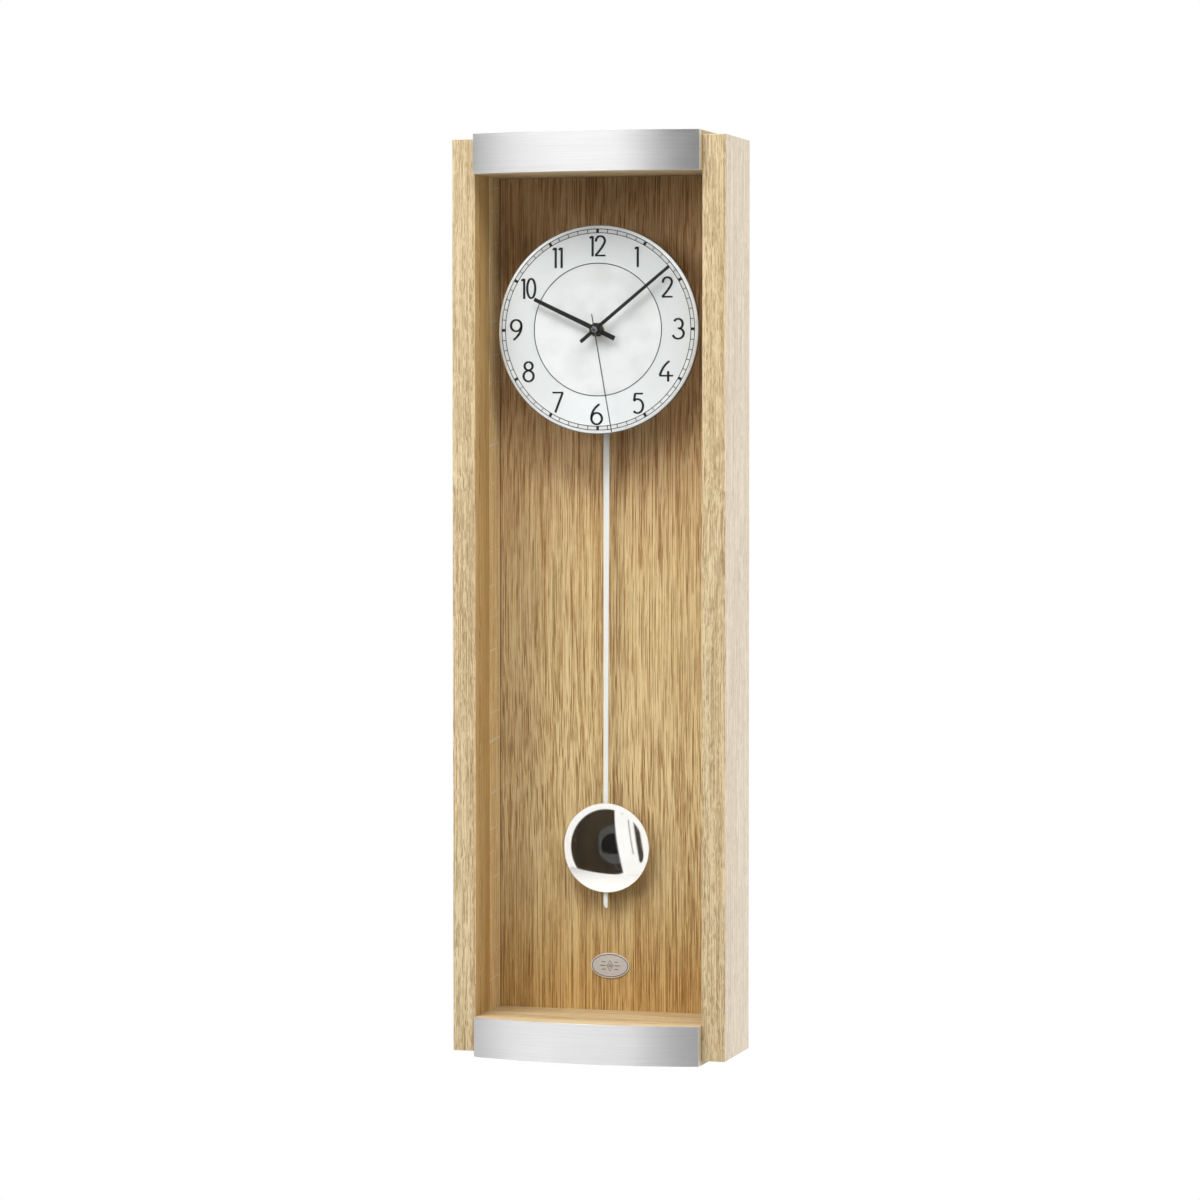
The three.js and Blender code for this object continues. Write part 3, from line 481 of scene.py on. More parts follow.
class Shape:
    """Closed solids gathered into one mesh, in millimetres about a centre given in metres."""

    def __init__(self, centre=(0, 0, 0)):
        self.centre = Vector(centre)
        self.bm = bmesh.new()

    def lathe(self, profile, segments=96):
        """Turns [radius, y] points about the Y axis. They run from axis to axis, or round a loop."""
        turns = [tau * i / segments for i in range(segments)]
        rings = []
        for radius, y in profile:
            spots = [(radius * cos(t), y, radius * sin(t)) for t in turns] if radius else [(0, y, 0)]
            rings.append([self.bm.verts.new(spot) for spot in spots])
        pairs = list(zip(rings, rings[1:] + rings[:1]))
        for first, second in pairs if profile[0][0] > 0 else pairs[:-1]:
            for i in range(segments):
                round_face = ((first, i), (first, i + 1), (second, i + 1), (second, i))
                corners = list(dict.fromkeys(ring[k % len(ring)] for ring, k in round_face))
                if len(corners) > 2:
                    self.bm.faces.new(corners)
        return self

    def prism(self, outline, low, high, along="Y"):
        """Extrudes an outline, [x, z] along Y or [x, y] along Z."""

        def spot(point, depth):
            return (point[0], depth, point[1]) if along == "Y" else (*point, depth)

        ends = [[self.bm.verts.new(spot(point, depth)) for point in outline] for depth in (low, high)]
        for end in ends:
            self.bm.faces.new(end)
        for i in range(len(outline)):
            j = (i + 1) % len(outline)
            self.bm.faces.new([ends[0][i], ends[0][j], ends[1][j], ends[1][i]])
        return self

    def stroke(self, points, width, low, high, closed=False):
        """A ribbon along [x, z] points. Its width is a function of how upright the line runs, 0 to 1."""
        count = len(points)
        rows = []
        for i, (x, z) in enumerate(points):
            before = points[i - 1] if closed or i else points[0]
            after = points[(i + 1) % count] if closed or i < count - 1 else points[-1]
            dx, dz = after[0] - before[0], after[1] - before[1]
            length = hypot(dx, dz)
            half = width(abs(dz) / length) / 2
            nx, nz = -dz / length * half, dx / length * half
            sides = ((x + nx, z + nz), (x - nx, z - nz))
            rows.append([self.bm.verts.new((a, y, b)) for y in (low, high) for a, b in sides])
        for a, b in zip(rows, rows[1:] + rows[:1]) if closed else zip(rows, rows[1:]):
            for i, j in ((0, 1), (1, 3), (3, 2), (2, 0)):
                self.bm.faces.new([a[i], a[j], b[j], b[i]])
        if not closed:
            for row in (rows[0], rows[-1]):
                self.bm.faces.new([row[0], row[1], row[3], row[2]])
        return self

    def turn(self, degrees, axis="Y", first=0):
        """Rotates the vertices from one number on, clockwise as seen from the front for Y."""
        self.bm.verts.ensure_lookup_table()
        spin = Matrix.Rotation(radians(degrees), 3, axis)
        bmesh.ops.rotate(self.bm, verts=self.bm.verts[first:], matrix=spin)
        return self

    def mesh(self, name):
        bmesh.ops.recalc_face_normals(self.bm, faces=self.bm.faces)
        bmesh.ops.scale(self.bm, verts=self.bm.verts, vec=(MM, MM, MM))
        bmesh.ops.translate(self.bm, verts=self.bm.verts, vec=self.centre)
        made = bpy.data.meshes.new(name)
        self.bm.to_mesh(made)
        self.bm.free()
        return made

    def piece(self, name, *finish, **options):
        return finish_piece(link(name, self.mesh(name)), *finish, **options)


# ---------------------------------------------------------------- case
BAND_BULGE = 11.0  # how far a band's middle stands before its ends
SHEET = 1.2
BAND_EASE = 0.18
GLUE_GAP = 0.1
BEAM_EASE = 0.5
FACING = 0.9  # a face whose normal leans this far inward belongs to the inner wall


def build_case():
    """Pillars with a calmer inner wall, linings, boards, panel, hanging rail and pane."""
    for side, look, inward in (("left", OAK_LEFT, 1), ("right", OAK_RIGHT, -1)):
        pillar = dress(f"{side}_pillar", look, bevel=BEAM_EASE)
        # faces turned into the recess get the warmer copy of the oak, which paints the recess's shade and
        # bounce light
        pillar.data.materials.append(OAK_INNER_SHADED)
        for face in pillar.data.polygons:
            face.material_index = int(face.normal.x * inward > FACING)
    for side in ("left", "right"):
        dress(f"{side}_lining_strip", OAK_LINING, bevel=0.3)
    for end in ("bottom", "top"):
        dress(f"{end}_board", OAK_BOARD, bevel=0.3)
    dress("back_panel", OAK_PANEL, bevel=0.2)
    dress("hanging_rail", OAK_BOARD, bevel=0.4)
    frame["nodes"]["glass_pane"].data.materials[0] = GLASS


def band_curve(node, inset, steps=96):
    """[x, y] points from left to right along a band's front, moved back by the inset."""
    low, high = [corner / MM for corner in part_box(node)]
    half = high.x
    radius = (half ** 2 + BAND_BULGE ** 2) / (2 * BAND_BULGE)
    centre = low.y + radius
    inner = radius - inset
    reach = asin(half / inner)
    turns = [-reach + 2 * reach * i / steps for i in range(steps + 1)]
    return [(inner * sin(t), centre - inner * cos(t)) for t in turns]


def build_bands():
    """Each band is bent sheet with a wooden block behind it."""
    for end in ("bottom", "top"):
        node = f"{end}_aluminium_band"
        low, high = [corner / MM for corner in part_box(node)]
        outline = band_curve(node, 0.0) + band_curve(node, SHEET)[::-1]
        band = Shape().prism(outline, low.z, high.z, "Z")
        metal = (BAND_METAL, "case", "brushed_aluminium")
        band.piece(f"{end}_band", *metal, [node], bevel=BAND_EASE, smooth=20)

        wood = f"{end}_front_block"
        low, high = [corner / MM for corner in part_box(wood)]
        front = band_curve(node, SHEET + GLUE_GAP)
        block = Shape().prism(front + [(high.x, high.y), (low.x, high.y)], low.z, high.z, "Z")
        block.piece(f"{end}_block", OAK_PALE, "case", "pale_wood", [wood], bevel=0.25, smooth=20)


# ---------------------------------------------------------------- oval plate under the bob
BADGE_LINE = 0.42
BADGE_RIM = 1.2
BADGE_ROWS = (5.2, 7.6, 5.2)
ROW_STEP = 2.6
ROW_START = 3.2
ROW_SHARE = 0.55
DIAMOND = [(0, 3.8), (2.1, 0), (0, -3.8), (-2.1, 0)]
DIAMOND_EYE = 0.8


def oval(half_width, half_height, steps=72):
    return [(half_width * cos(tau * i / steps), half_height * sin(tau * i / steps)) for i in range(steps)]


def build_badge():
    """An oval nickel plate with a line border and a small engraved ornament. It bears no words."""
    low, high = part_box("oval_badge")
    a, b = (high.x - low.x) / 2 / MM, (high.z - low.z) / 2 / MM
    front, back = low.y / MM, high.y / MM
    centre = middle("oval_badge")
    plate = Shape(centre).prism(oval(a, b), front, back)
    metal = (BADGE_METAL, "case", "brushed_aluminium")
    plate.piece("badge_plate", *metal, ["oval_badge"], bevel=0.25, smooth=30)

    def engrave(points, closed=True):
        art.stroke(points, lambda upright: BADGE_LINE, front - 0.05, front + 0.1, closed)

    art = Shape(centre)
    engrave(oval(a - BADGE_RIM, b - BADGE_RIM))
    for side in (-1, 1):
        for row, reach in enumerate(BADGE_ROWS):
            z = ROW_STEP * (1 - row)
            engrave([(side * ROW_START, z), (side * (ROW_START + reach * ROW_SHARE), z)], closed=False)
    engrave(DIAMOND)
    engrave(oval(DIAMOND_EYE, DIAMOND_EYE, 24))
    art.piece("badge_engraving", BADGE_INK, "case", "brushed_aluminium")


# ---------------------------------------------------------------- dial
ARBOR_HOLE = 4.5
CHAPTER_INNER = 46.6
TRACK_INNER = 67.9
TRACK_OUTER = 70.6
TRACK_EDGE = TRACK_OUTER + 0.4
RING_DEPTH = 0.8
FACET_DROP = 0.72
LIP_DEPTH = 1.6
DIAL_STEPS = 180
INK_HEIGHT = 0.06
CIRCLES = ((CHAPTER_INNER, 0.62), (TRACK_INNER, 0.5), (TRACK_OUTER, 0.5))  # radius, line width
HOUR_BAR = 1.0
MINUTE_BAR = 0.26
NUMERAL_HEIGHT = 14.8
NUMERAL_RADIUS = 58.7
PEN_THIN = 0.084  # stroke widths, as shares of a numeral's height
PEN_GAIN = 0.034
NUDGES = {4: (-1.0, 0), 5: (0, -0.9), 6: (-0.7, -0.6), 9: (-1.3, 0)}  # numerals set off their even places


def arc(x, z, width, height, start, end, steps=30):
    """Points along an ellipse. Degrees run anticlockwise from +X."""
    turns = [radians(start + (end - start) * i / steps) for i in range(steps + 1)]
    return [(x + width * cos(t), z + height * sin(t)) for t in turns]


def loop(x, z, width, height):
    """A closed ellipse in 40 points."""
    return arc(x, z, width, height, 0, 360 - 9, 39)


def bend(first, pull, last, steps=20):
    """A curve from the first point to the last, drawn towards the one between them."""
    spots = []
    for i in range(steps + 1):
        t = i / steps
        shares = ((1 - t) ** 2, 2 * t * (1 - t), t ** 2)
        spots.append(tuple(sum(s * p[k] for s, p in zip(shares, (first, pull, last))) for k in (0, 1)))
    return spots


# Strokes of each digit, in shares of its height: lines and loops of [x, z] points.
SIX = [("loop", loop(0, 0.28, 0.26, 0.27)), ("line", bend((-0.26, 0.28), (-0.27, 0.68), (0.14, 0.97)))]
DIGITS = {
    "0": [("loop", loop(0, 0.5, 0.20, 0.46))],
    "1": [("line", [(-0.15, 0.87), (-0.02, 0.95)]), ("line", [(0, 0.97), (0, 0)])],
    "2": [
        ("line", arc(0, 0.74, 0.22, 0.22, 190, -25) + bend((0.19, 0.63), (0.08, 0.38), (-0.25, 0.05))[1:]),
        ("line", [(-0.27, 0.04), (0.26, 0.04)]),
    ],
    "3": [("line", arc(0, 0.74, 0.22, 0.24, 150, -80)), ("line", arc(0, 0.29, 0.27, 0.25, 95, -165))],
    "4": [
        ("line", bend((0.18, 0.97), (-0.16, 0.755), (-0.30, 0.28))),
        ("line", [(-0.32, 0.28), (0.36, 0.28)]),
        ("line", [(0.11, 0.5), (0.11, 0)]),
    ],
    "5": [
        ("line", [(-0.13, 0.95), (0.26, 0.95)]),
        ("line", [(-0.13, 0.97), (-0.18, 0.60)]),
        ("line", arc(-0.01, 0.36, 0.27, 0.33, 133, -135)),
    ],
    "6": SIX,
    "7": [("line", [(-0.26, 0.95), (0.27, 0.95)]), ("line", [(0.25, 0.95), (-0.12, 0)])],
    "8": [("loop", loop(0, 0.765, 0.20, 0.195)), ("loop", loop(0, 0.29, 0.25, 0.255))],
    "9": [(kind, [(-x, 1 - z) for x, z in points]) for kind, points in SIX],
}
# How far each digit of a pair stands from the middle of its numeral.
PAIRS = {"10": (-0.217, 0.134), "11": (-0.095, 0.20), "12": (-0.245, 0.14)}


def pen(upright):
    """The numerals' stroke width: heavier on uprights."""
    return NUMERAL_HEIGHT * (PEN_THIN + PEN_GAIN * upright)


def draw_numeral(art, hour, ink):
    angle = radians(30 * hour)
    nudge = NUDGES.get(hour, (0, 0))
    x0 = NUMERAL_RADIUS * sin(angle) + nudge[0]
    z0 = NUMERAL_RADIUS * cos(angle) + nudge[1] - NUMERAL_HEIGHT / 2
    word = str(hour)
    for digit, offset in zip(word, PAIRS.get(word, (0,))):
        for kind, points in DIGITS[digit]:
            spots = [(x0 + (x + offset) * NUMERAL_HEIGHT, z0 + z * NUMERAL_HEIGHT) for x, z in points]
            art.stroke(spots, pen, *ink, closed=kind == "loop")


def print_dial(front):
    """The dial's circles, bars and numerals, raised a little."""
    art = Shape(HAND_AXIS)
    ink = (front - INK_HEIGHT, front + 0.2)
    for radius, width in CIRCLES:
        inner, outer = radius - width / 2, radius + width / 2
        art.lathe([(inner, ink[0]), (outer, ink[0]), (outer, ink[1]), (inner, ink[1])], DIAL_STEPS)
    for minute in range(60):
        hourly = minute % 5 == 0
        half = HOUR_BAR if hourly else MINUTE_BAR
        first = len(art.bm.verts)
        bar = [(-half, TRACK_INNER), (half, TRACK_INNER), (half, TRACK_OUTER), (-half, TRACK_OUTER)]
        art.prism(bar, ink[0] - (0.01 if hourly else 0), ink[1]).turn(6 * minute, first=first)
    for hour in range(1, 13):
        draw_numeral(art, hour, ink)
    art.piece("dial_printing", INK, "case", "dial", smooth=30)


def build_dial():
    """Three flat zones, a polished facet round them, a dark body behind, and the printing."""
    rim, front, back = round_size("dial_disc")
    zones = [
        ("dial_centre", DIAL_WHITE, ARBOR_HOLE, CHAPTER_INNER),
        ("dial_chapter_ring", SILVER, CHAPTER_INNER, TRACK_INNER),
        ("dial_track_ring", DIAL_WHITE, TRACK_INNER, TRACK_EDGE),
    ]
    floor = front + RING_DEPTH
    for name, look, inner, outer in zones:
        section = [(inner, front), (outer, front), (outer, floor), (inner, floor)]
        zone = Shape(HAND_AXIS).lathe(section, DIAL_STEPS)
        zone.piece(name, look, "case", "dial", ["dial_disc"], smooth=30)

    under = front + LIP_DEPTH
    bezel = [
        (TRACK_EDGE, front), (TRACK_EDGE + 0.3, front), (rim - 0.6, front + FACET_DROP), (rim - 0.6, under),
        (TRACK_EDGE, under),
    ]
    facet = Shape(HAND_AXIS).lathe(bezel, DIAL_STEPS)
    facet.piece("dial_facet", RIM_METAL, "case", "dial", ["dial_disc"], smooth=20)
    section = [
        (ARBOR_HOLE, floor + 0.05), (TRACK_EDGE - 0.05, floor + 0.05), (TRACK_EDGE - 0.05, under + 0.05),
        (rim - 0.55, under + 0.05), (rim - 0.55, front + 0.7), (rim - 0.1, front + 0.75),
        (rim, front + 0.9), (rim, back - 0.3), (rim - 0.3, back), (ARBOR_HOLE, back),
    ]
    body = Shape(HAND_AXIS).lathe(section, DIAL_STEPS)
    body.piece("dial_body", EDGE_METAL, "case", "dial", ["dial_disc"], smooth=20)

    print_dial(front)
    dress("dial_bracket", BLACK_PLASTIC, bevel=0.25)
    dress("threaded_bush", BRASS)
    dress("bush_nut", BRASS, bevel=0.2)


# ---------------------------------------------------------------- hands
MINUTE_ANGLE = 50.9
HOUR_ANGLE = -64.7
SECOND_ANGLE = 170.0
HOUR_BLADE = {"tip": 50.3, "tail": 14.9, "hub_width": 3.4, "tip_width": 2.7}
MINUTE_BLADE = {"tip": 69.4, "tail": 13.8, "hub_width": 2.6, "tip_width": 2.1}
SECOND_BLADE = {"tip": 73, "tail": 10.9, "hub_width": 0.8, "tip_width": 0.7}
HOUR_LAYER = (-46.1, -45.4)  # front and back along Y
MINUTE_LAYER = (-48.4, -47.7)
SECOND_LAYER = (-50.5, -50.1)
HOUR_BOSS = {"radius": 4.6, "bore": 2.8, "front": -46.3, "back": -44.9}
MINUTE_BOSS = {"radius": 4.2, "bore": 2.1, "front": -48.9, "back": -47.2}
HUB_ROUND = 0.25
HUB_STEPS = 5
# A low dome with steep sides, and its flat back.
CAP_PROFILE = [
    (0, -51.5), (0.6, -51.48), (1.2, -51.4), (1.8, -51.22), (2.2, -50.95), (2.45, -50.6), (2.5, -50.3),
    (2.5, -49.6), (0, -49.6),
]


def blade(tip, tail, hub_width, tip_width):
    """A tapered baton along +Z."""
    a, b = hub_width / 2, tip_width / 2
    return [(-a, -tail), (a, -tail), (a, 0), (b, tip), (-b, tip), (-a, 0)]


def hub(radius, bore, front, back):
    """A disc with a hole and a rounded front edge."""
    turns = [radians(90 / HUB_STEPS * i) for i in range(HUB_STEPS + 1)]
    shoulder = radius - HUB_ROUND
    curve = [(shoulder + HUB_ROUND * sin(t), front + HUB_ROUND * (1 - cos(t))) for t in turns]
    return [(bore, front), *curve, (radius, back), (bore, back)]


def build_hands():
    hour = Shape(HAND_AXIS).prism(blade(**HOUR_BLADE), *HOUR_LAYER).turn(HOUR_ANGLE)
    hour.piece("hour_baton", HAND_LACQUER, "hours", "hand_black", ["hour_hand"], bevel=0.12)
    boss = Shape(HAND_AXIS).lathe(hub(**HOUR_BOSS))
    boss.piece("hour_boss", HAND_LACQUER, "hours", "hand_black", ["hour_hand"], smooth=30)

    minute = Shape(HAND_AXIS).prism(blade(**MINUTE_BLADE), *MINUTE_LAYER).turn(MINUTE_ANGLE)
    minute.piece("minute_baton", HAND_LACQUER, "minutes", "hand_black", ["minute_hand"], bevel=0.12)
    boss = Shape(HAND_AXIS).lathe(hub(**MINUTE_BOSS))
    boss.piece("minute_boss", HAND_LACQUER, "minutes", "hand_black", ["minute_hand"], smooth=30)

    needle = Shape(HAND_AXIS).prism(blade(**SECOND_BLADE), *SECOND_LAYER).turn(SECOND_ANGLE)
    needle.piece("second_needle", NEEDLE_LACQUER, "seconds", "hand_black", ["second_hand"], bevel=0.06)
    cap = Shape(HAND_AXIS).lathe(CAP_PROFILE, 64)
    cap.piece("second_cap", CAP_METAL, "seconds", "hand_black", ["second_hand"], smooth=30)


# ---------------------------------------------------------------- pendulum
BOB_HEM = 0.8  # the rolled edge of the dome
BOB_STEPS = 48
HEM_STEPS = 12
SHELL_INSET = (0.9, 0.75)  # the inner face from the outer one: towards the axis, and backwards


def bob_profile():
    """A shallow spherical dome with a rolled edge, hollow behind, from axis to axis."""
    reach, front, back = round_size("bob_shell")
    rise = back - front - BOB_HEM
    curve = ((reach - BOB_HEM * 0.4) ** 2 + rise ** 2) / (2 * rise)
    spread = asin((reach - BOB_HEM * 0.55) / curve)
    turns = [spread * i / BOB_STEPS for i in range(BOB_STEPS + 1)]
    dome = [(curve * sin(t), front + curve * (1 - cos(t))) for t in turns]

    edge_r, edge_y = dome[-1]
    roll = (reach - edge_r) / (1 - sin(spread))
    turns = [spread + (pi - spread - 0.1) * i / HEM_STEPS for i in range(1, HEM_STEPS + 1)]
    hem = [(edge_r + roll * (sin(t) - sin(spread)), edge_y + roll * (cos(spread) - cos(t))) for t in turns]

    inward, backward = SHELL_INSET
    inside = [(max(r - inward, 0), y + backward) for r, y in dome[::-4]]
    foot = [(hem[-1][0] - 0.2, back), (inside[0][0], back)]
    hem = [(r, y) for r, y in hem if y < back]
    inside = [(r, y) for r, y in inside if y < back - 0.2]
    inside[-1] = (0, inside[-1][1])
    return dome + hem + foot + inside


def build_pendulum():
    dress("pendulum_rod", ROD_METAL, bevel=0.12)
    dress("pendulum_hanger", WHITE_PLASTIC, bevel=0.2)
    dress("pendulum_magnet", LAMINATION, bevel=0.3)
    dress("pendulum_bracket", WHITE_PLASTIC, bevel=0.25)
    dress("pendulum_pivot_pin", ZINC, bevel=0.15)
    dress("bob_clip", ZINC, bevel=0.15)

    shell = Shape(BOB_CENTRE).lathe(bob_profile(), 160)
    shell.piece("bob_dome", MIRROR, "pendulum", "bob_polished", ["bob_shell"], smooth=40)
    r, front, back = round_size("bob_back_disc")
    disc = [(0, front), (r - 0.15, front), (r, front + 0.15), (r, back - 0.2), (r - 0.2, back), (0, back)]
    back_disc = Shape(BOB_CENTRE).lathe(disc, 128)
    back_disc.piece("bob_disc", MIRROR, "pendulum", "bob_polished", ["bob_back_disc"])


# ---------------------------------------------------------------- fastenings and back
SHANK = 1.4
SMALL_HEAD = 3.3  # heads of a smaller radius are flatter
SMALL_HEAD_HEIGHT = 0.9
HEAD_HEIGHT = 1.4
RECESS_HALF_WIDTH = 0.45
RECESS_REACH = 1.9
RECESS_DEPTH = 0.7  # of the head's height


def carve(obj, cutter):
    """Cuts one piece's shape out of another."""
    tool = obj.modifiers.new("carve", "BOOLEAN")
    tool.operation = "DIFFERENCE"
    tool.solver = "EXACT"
    tool.object = cutter
    bpy.context.view_layer.update()
    made = bpy.data.meshes.new_from_object(obj.evaluated_get(bpy.context.evaluated_depsgraph_get()))
    obj.modifiers.clear()
    obj.data = made
    bpy.data.objects.remove(cutter)


def build_screw(node):
    """A pan-head screw with a cross recess, its head to the rear."""
    centre = middle(node)
    radius, tip, head = round_size(node)
    height = SMALL_HEAD_HEIGHT if radius < SMALL_HEAD else HEAD_HEIGHT
    seat = head - height
    crown = [(radius * (1 - 0.035 * i * i), seat + height * (0.35 + 0.13 * i)) for i in range(5)]
    shank = [(0, tip), (0.5, tip + 0.8), (SHANK, tip + 3), (SHANK, seat)]
    profile = [*shank, (radius, seat), *crown, (radius * 0.25, head), (0, head)]
    screw = link(f"{node}_piece", Shape(centre).lathe(profile, 40).mesh(f"{node}_piece"))
    w, h = RECESS_HALF_WIDTH, RECESS_REACH
    arms = [(w, -h), (w, -w), (h, -w), (h, w), (w, w), (w, h)]
    cross = arms + [(-x, -z) for x, z in arms]
    recess = Shape(centre).prism(cross, head - height * RECESS_DEPTH, head + 1)
    carve(screw, link("recess", recess.mesh("recess")))
    finish_piece(screw, ZINC, "case", "zinc_steel", [node], smooth=30)


def build_back():
    """Screws, hanger plate and the rubber buffers that rest on the wall."""
    for node in frame["nodes"]:
        if "_screw_" in node:
            build_screw(node)
    dress("hanger_plate", ZINC, bevel=0.2)
    for side in ("left", "right"):
        node = f"wall_buffer_{side}"
        r, front, back = round_size(node)
        shoulder = [(r, back - 1.6), (r - 0.25, back - 0.9), (r - 0.8, back - 0.3), (r - 1.6, back)]
        profile = [(0, front), (r, front), *shoulder, (2.2, back), (1.6, back - 0.8), (0, back - 1)]
        buffer = Shape(middle(node)).lathe(profile, 64)
        buffer.piece(f"{node}_piece", RUBBER, "case", "buffer_rubber", [node])


# ---------------------------------------------------------------- movement
KNURLS = 30
KNURL_DEPTH = 0.2
KNOB_FLOOR = -19.6  # where the grip begins behind the cover
KNOB_BORE = 0.75
KNOB_STEM = 1.9
CELL_BUTTON = 1.1  # how far the cell's button stands out


def build_knob():
    """The setting wheel on the back, with a finger-grip edge."""
    radius, stem, face = round_size("setting_knob")
    steps = KNURLS * 6
    outline = []
    for i in range(steps):
        r = radius - KNURL_DEPTH + KNURL_DEPTH * cos(tau * KNURLS * i / steps)
        outline.append((r * cos(tau * i / steps), r * sin(tau * i / steps)))
    knob = Shape(middle("setting_knob")).prism(outline, KNOB_FLOOR, face - 0.5)
    dish = [(radius - 0.8, face - 0.6), (radius - 1.3, face), (3.2, face), (2.6, face - 0.45)]
    knob.lathe([(0, face - 0.6), *dish, (0, face - 0.45)], 64)
    end = KNOB_FLOOR + 0.2
    knob.lathe([(KNOB_BORE, stem), (KNOB_STEM, stem), (KNOB_STEM, end), (KNOB_BORE, end)], 40)
    knob.piece("setting_knob_piece", WHITE_PLASTIC, "setting", "white_plastic", ["setting_knob"], smooth=30)


def build_cell():
    """A plain dry cell: a sleeve over a metal can with its button upwards."""
    low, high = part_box("battery_cell")
    centre = (low + high) / 2
    radius = (high.x - low.x) / 2 / MM
    half = (high.z - low.z) / 2 / MM
    top = half - CELL_BUTTON

    def upright(profile, name, look):
        body = Shape(centre).lathe([(r, -z) for r, z in profile], 72).turn(-90, "X")
        body.piece(name, look, "case", "cell_sleeve", ["battery_cell"], smooth=30)

    sleeve = [
        (radius - 0.6, -half + 0.1), (radius, -half + 0.5), (radius, top - 0.7), (radius - 0.6, top - 0.2),
        (radius - 0.9, top - 0.3), (radius - 0.9, -half + 0.4),
    ]
    upright(sleeve, "cell_sleeve_piece", SLEEVE)
    can = [
        (0, -half), (radius - 1.4, -half), (radius - 1.0, -half + 0.3), (radius - 0.95, top - 0.5),
        (radius - 1.3, top - 0.1), (2.9, top - 0.1), (2.75, half - 0.2), (2.5, half), (0, half),
    ]
    upright(can, "cell_can", NICKEL_STRIP)


def build_movement():
    """The quartz movement behind the dial: housings, train, coils, contacts, knob and cell."""
    dress("movement_housing", BLACK_PLASTIC, bevel=0.4)
    dress("movement_rear_cover", BLACK_PLASTIC, bevel=0.25)
    for node in ("second_wheel", "third_wheel", "centre_wheel", "cannon_pinion"):
        dress(node, BRASS, smooth=30)
    for node in ("hour_wheel", "intermediate_wheel", "motion_wheel"):
        dress(node, WHITE_PLASTIC, smooth=30)
    for node in ("rotor", "stator"):
        dress(node, LAMINATION, smooth=30)
    for node in ("motor_coil", "pendulum_drive_coil"):
        dress(node, COPPER, smooth=30)
    for node in ("battery_contact_top", "battery_contact_bottom", "quartz_crystal"):
        dress(node, NICKEL_STRIP, smooth=30)
    dress("circuit_board", GREEN_BOARD, bevel=0.1)
    build_knob()
    build_cell()


build_case()
build_bands()
build_badge()
build_dial()
build_hands()
build_pendulum()
build_back()
build_movement()


# ---------------------------------------------------------------- studio
# The world's brightness in front, above and to the right. Behind the clock it is 1.
FRONT_LEVEL = 0.3
TOP_LEVEL = 0.3
RIGHT_LEVEL = 2.3
# Where each of them begins and is full, along its own axis.
BACK_STEP = (-0.15, 0.15)
TOP_STEP = (0.55, 0.8)
RIGHT_STEP = (0.55, 0.85)
CARD_LEAN = 0.166  # how the cards lean and tilt, in radians
CARD_TILT = 0.25
TILT_CENTRE = 0.35
CARD_SOFTNESS = 0.012
# Cards ahead of the clock: degrees west, east, floor and roof, and brightness.
OPEN_CARDS = [(-70, -8, -40, 58, 0.012), (-8, 2, -40, 40, 0.45), (2, 60, -90, 90, 0.1)]
PANE_CARDS = [
    (-70, -6, -28, 45, 0.012), (8.5, 12.7, -24, 15, 0.03), (0, 9, 15, 21, 0.03), (4.4, 5.2, -16, 10, 0.2),
]
TENT_AXIS = (-0.249, -0.963, -0.101)  # the middle of the tent's round opening, where the pane's cards stand
TENT_OPENING = 29  # degrees from its middle to its edge
TENT_STEP = (0.4, 0.5)
TENT_LEVEL = 1.2
CLOCK_MIDDLE = (0, -0.03, -0.28)
# Name, place, aim, width and height in metres, watts, and whether polished surfaces show it.
LAMPS = [
    ("overhead_left", (-1.15, -1.68, 2.66), CLOCK_MIDDLE, 2.55, 1.6, 100, True),
    ("key", (-0.24, -1.74, 2.6), CLOCK_MIDDLE, 2.1, 1.6, 62, False),
    ("fill_right", (1.62, -2.28, 2.8), CLOCK_MIDDLE, 1.6, 1.6, 76, False),
    ("fill_left", (-1.75, -2.6, 1.0), CLOCK_MIDDLE, 1.6, 1.6, 48, False),
    ("floor_reflector", (-0.75, -0.6, -1.75), (0, -0.08, -0.59), 0.9, 0.7, 5, True),
]
FLOOR_HALF = 3.0
FLOOR_Z = -1.9
CAMERA_LENS = 121.2  # millimetres, with its sensor's width
CAMERA_SENSOR = 36
CAMERA_PLACE = (0.8001, -2.7744, -0.1672)
CAMERA_DOWN = 2.29  # degrees below level
CAMERA_ASIDE = 16.29  # degrees round from straight ahead


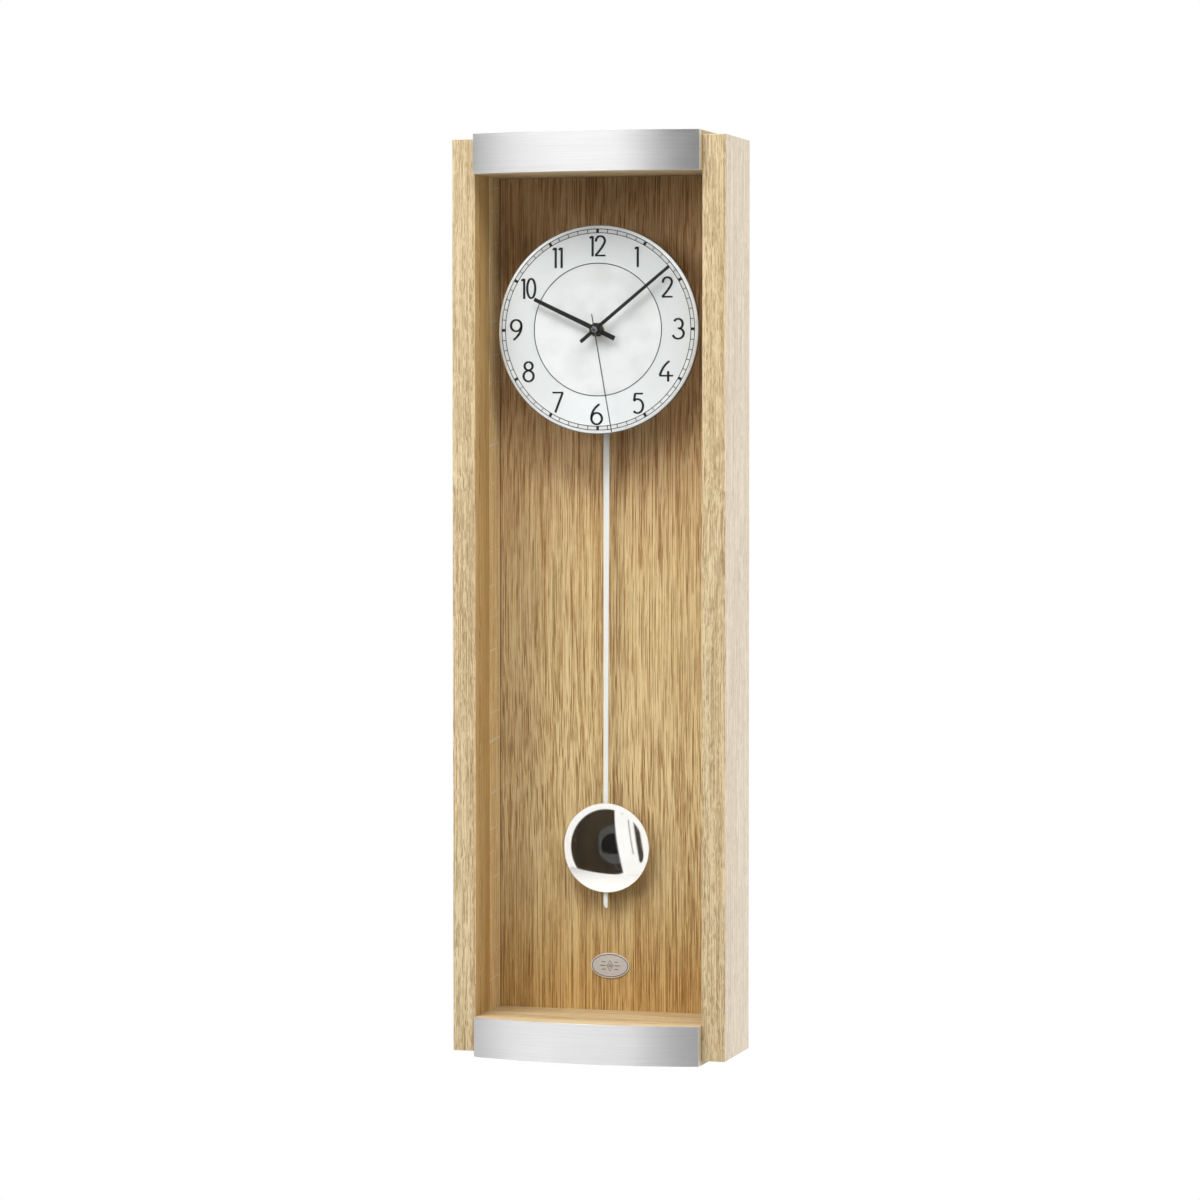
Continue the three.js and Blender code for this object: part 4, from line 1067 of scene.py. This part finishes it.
def build_world():
    """White behind the clock and softer in front, with dark and grey cards ahead of it.

    The pane's cards and their white tent stand only in the reflections that come back out through the pane.
    """
    world = bpy.data.worlds.new("studio")
    bpy.context.scene.world = world
    world.use_nodes = True
    tree = Tree(world.node_tree)
    direction = tree.add("TexCoord").outputs["Generated"]
    split = tree.add("SeparateXYZ", Vector=direction).outputs
    ahead = tree.math("MULTIPLY", split["Y"], -1.0)
    upward = split["Z"]
    azimuth = tree.math("MULTIPLY_ADD", upward, CARD_LEAN, tree.math("ARCTAN2", split["X"], ahead))
    height = tree.math("MULTIPLY_ADD", tree.math("ADD", azimuth, TILT_CENTRE), -CARD_TILT, upward)
    rays = tree.add("LightPath").outputs
    through_pane = rays["Is Transmission Ray"]

    def window(value, low, high):
        soft = CARD_SOFTNESS
        rising = tree.between(value, low - soft, low + soft)
        return tree.math("MULTIPLY", rising, tree.between(value, high - soft, high + soft, 1.0, 0.0))

    def towards(level, share, goal):
        return tree.add("Mix", Factor=share, A=level, B=goal).outputs[0]

    def show(level, card, seen):
        west, east, floor, roof, goal = card
        across = window(azimuth, radians(west), radians(east))
        upright = window(height, sin(radians(floor)), sin(radians(roof)))
        return towards(level, tree.math("MULTIPLY", tree.math("MULTIPLY", across, upright), seen), goal)

    level = tree.between(split["Y"], *BACK_STEP, FRONT_LEVEL, 1.0)
    level = towards(level, tree.between(upward, *TOP_STEP), TOP_LEVEL)
    level = towards(level, tree.between(split["X"], *RIGHT_STEP), RIGHT_LEVEL)
    for card in OPEN_CARDS:
        level = show(level, card, 1.0)

    along_axis = tree.vector_math("DOT_PRODUCT", direction, TENT_AXIS).outputs["Value"]
    front = tree.between(along_axis, *TENT_STEP)
    level = towards(level, tree.math("MULTIPLY", front, through_pane), TENT_LEVEL)
    rim = [cos(radians(TENT_OPENING + side)) for side in (0.5, -0.5)]
    inside = tree.math("MULTIPLY", tree.between(along_axis, *rim), through_pane)
    for card in PANE_CARDS:
        level = show(level, card, inside)

    level = towards(level, rays["Is Camera Ray"], 1.0)
    background = tree.nodes["Background"]
    tree.set(background, Strength=level, Color=(1, 1, 1, 1))


def build_lamp(name, place, aim, width, height, power, glossy):
    """A rectangular lamp. A reflection that is seen through the pane doesn't show it."""
    data = bpy.data.lights.new(name, "AREA")
    data.shape = "RECTANGLE"
    data.size, data.size_y = width, height
    data.energy = power
    obj = link(name, data)
    obj.location = place
    obj.rotation_euler = (Vector(aim) - Vector(place)).to_track_quat("-Z", "Y").to_euler()
    obj.visible_glossy = glossy
    obj.visible_transmission = False


def build_floor():
    bm = bmesh.new()
    bmesh.ops.create_grid(bm, x_segments=8, y_segments=8, size=FLOOR_HALF)
    mesh = bpy.data.meshes.new("studio_floor")
    bm.to_mesh(mesh)
    bm.free()
    floor = link("studio_floor", mesh)
    floor.location = (0, 0, FLOOR_Z)
    floor.data.materials.append(moulded("floor_paint", (0.82, 0.82, 0.81, 1), 0.7, texture=500, depth=1e-5))


def place_camera():
    data = bpy.data.cameras.new("camera")
    data.lens = CAMERA_LENS
    data.sensor_width = CAMERA_SENSOR
    camera = link("camera", data)
    camera.location = CAMERA_PLACE
    camera.rotation_euler = (radians(90 - CAMERA_DOWN), 0, radians(CAMERA_ASIDE))
    bpy.context.scene.camera = camera


build_world()
for lamp in LAMPS:
    build_lamp(*lamp)
build_floor()
place_camera()
bpy.context.scene.view_settings.view_transform = "Standard"
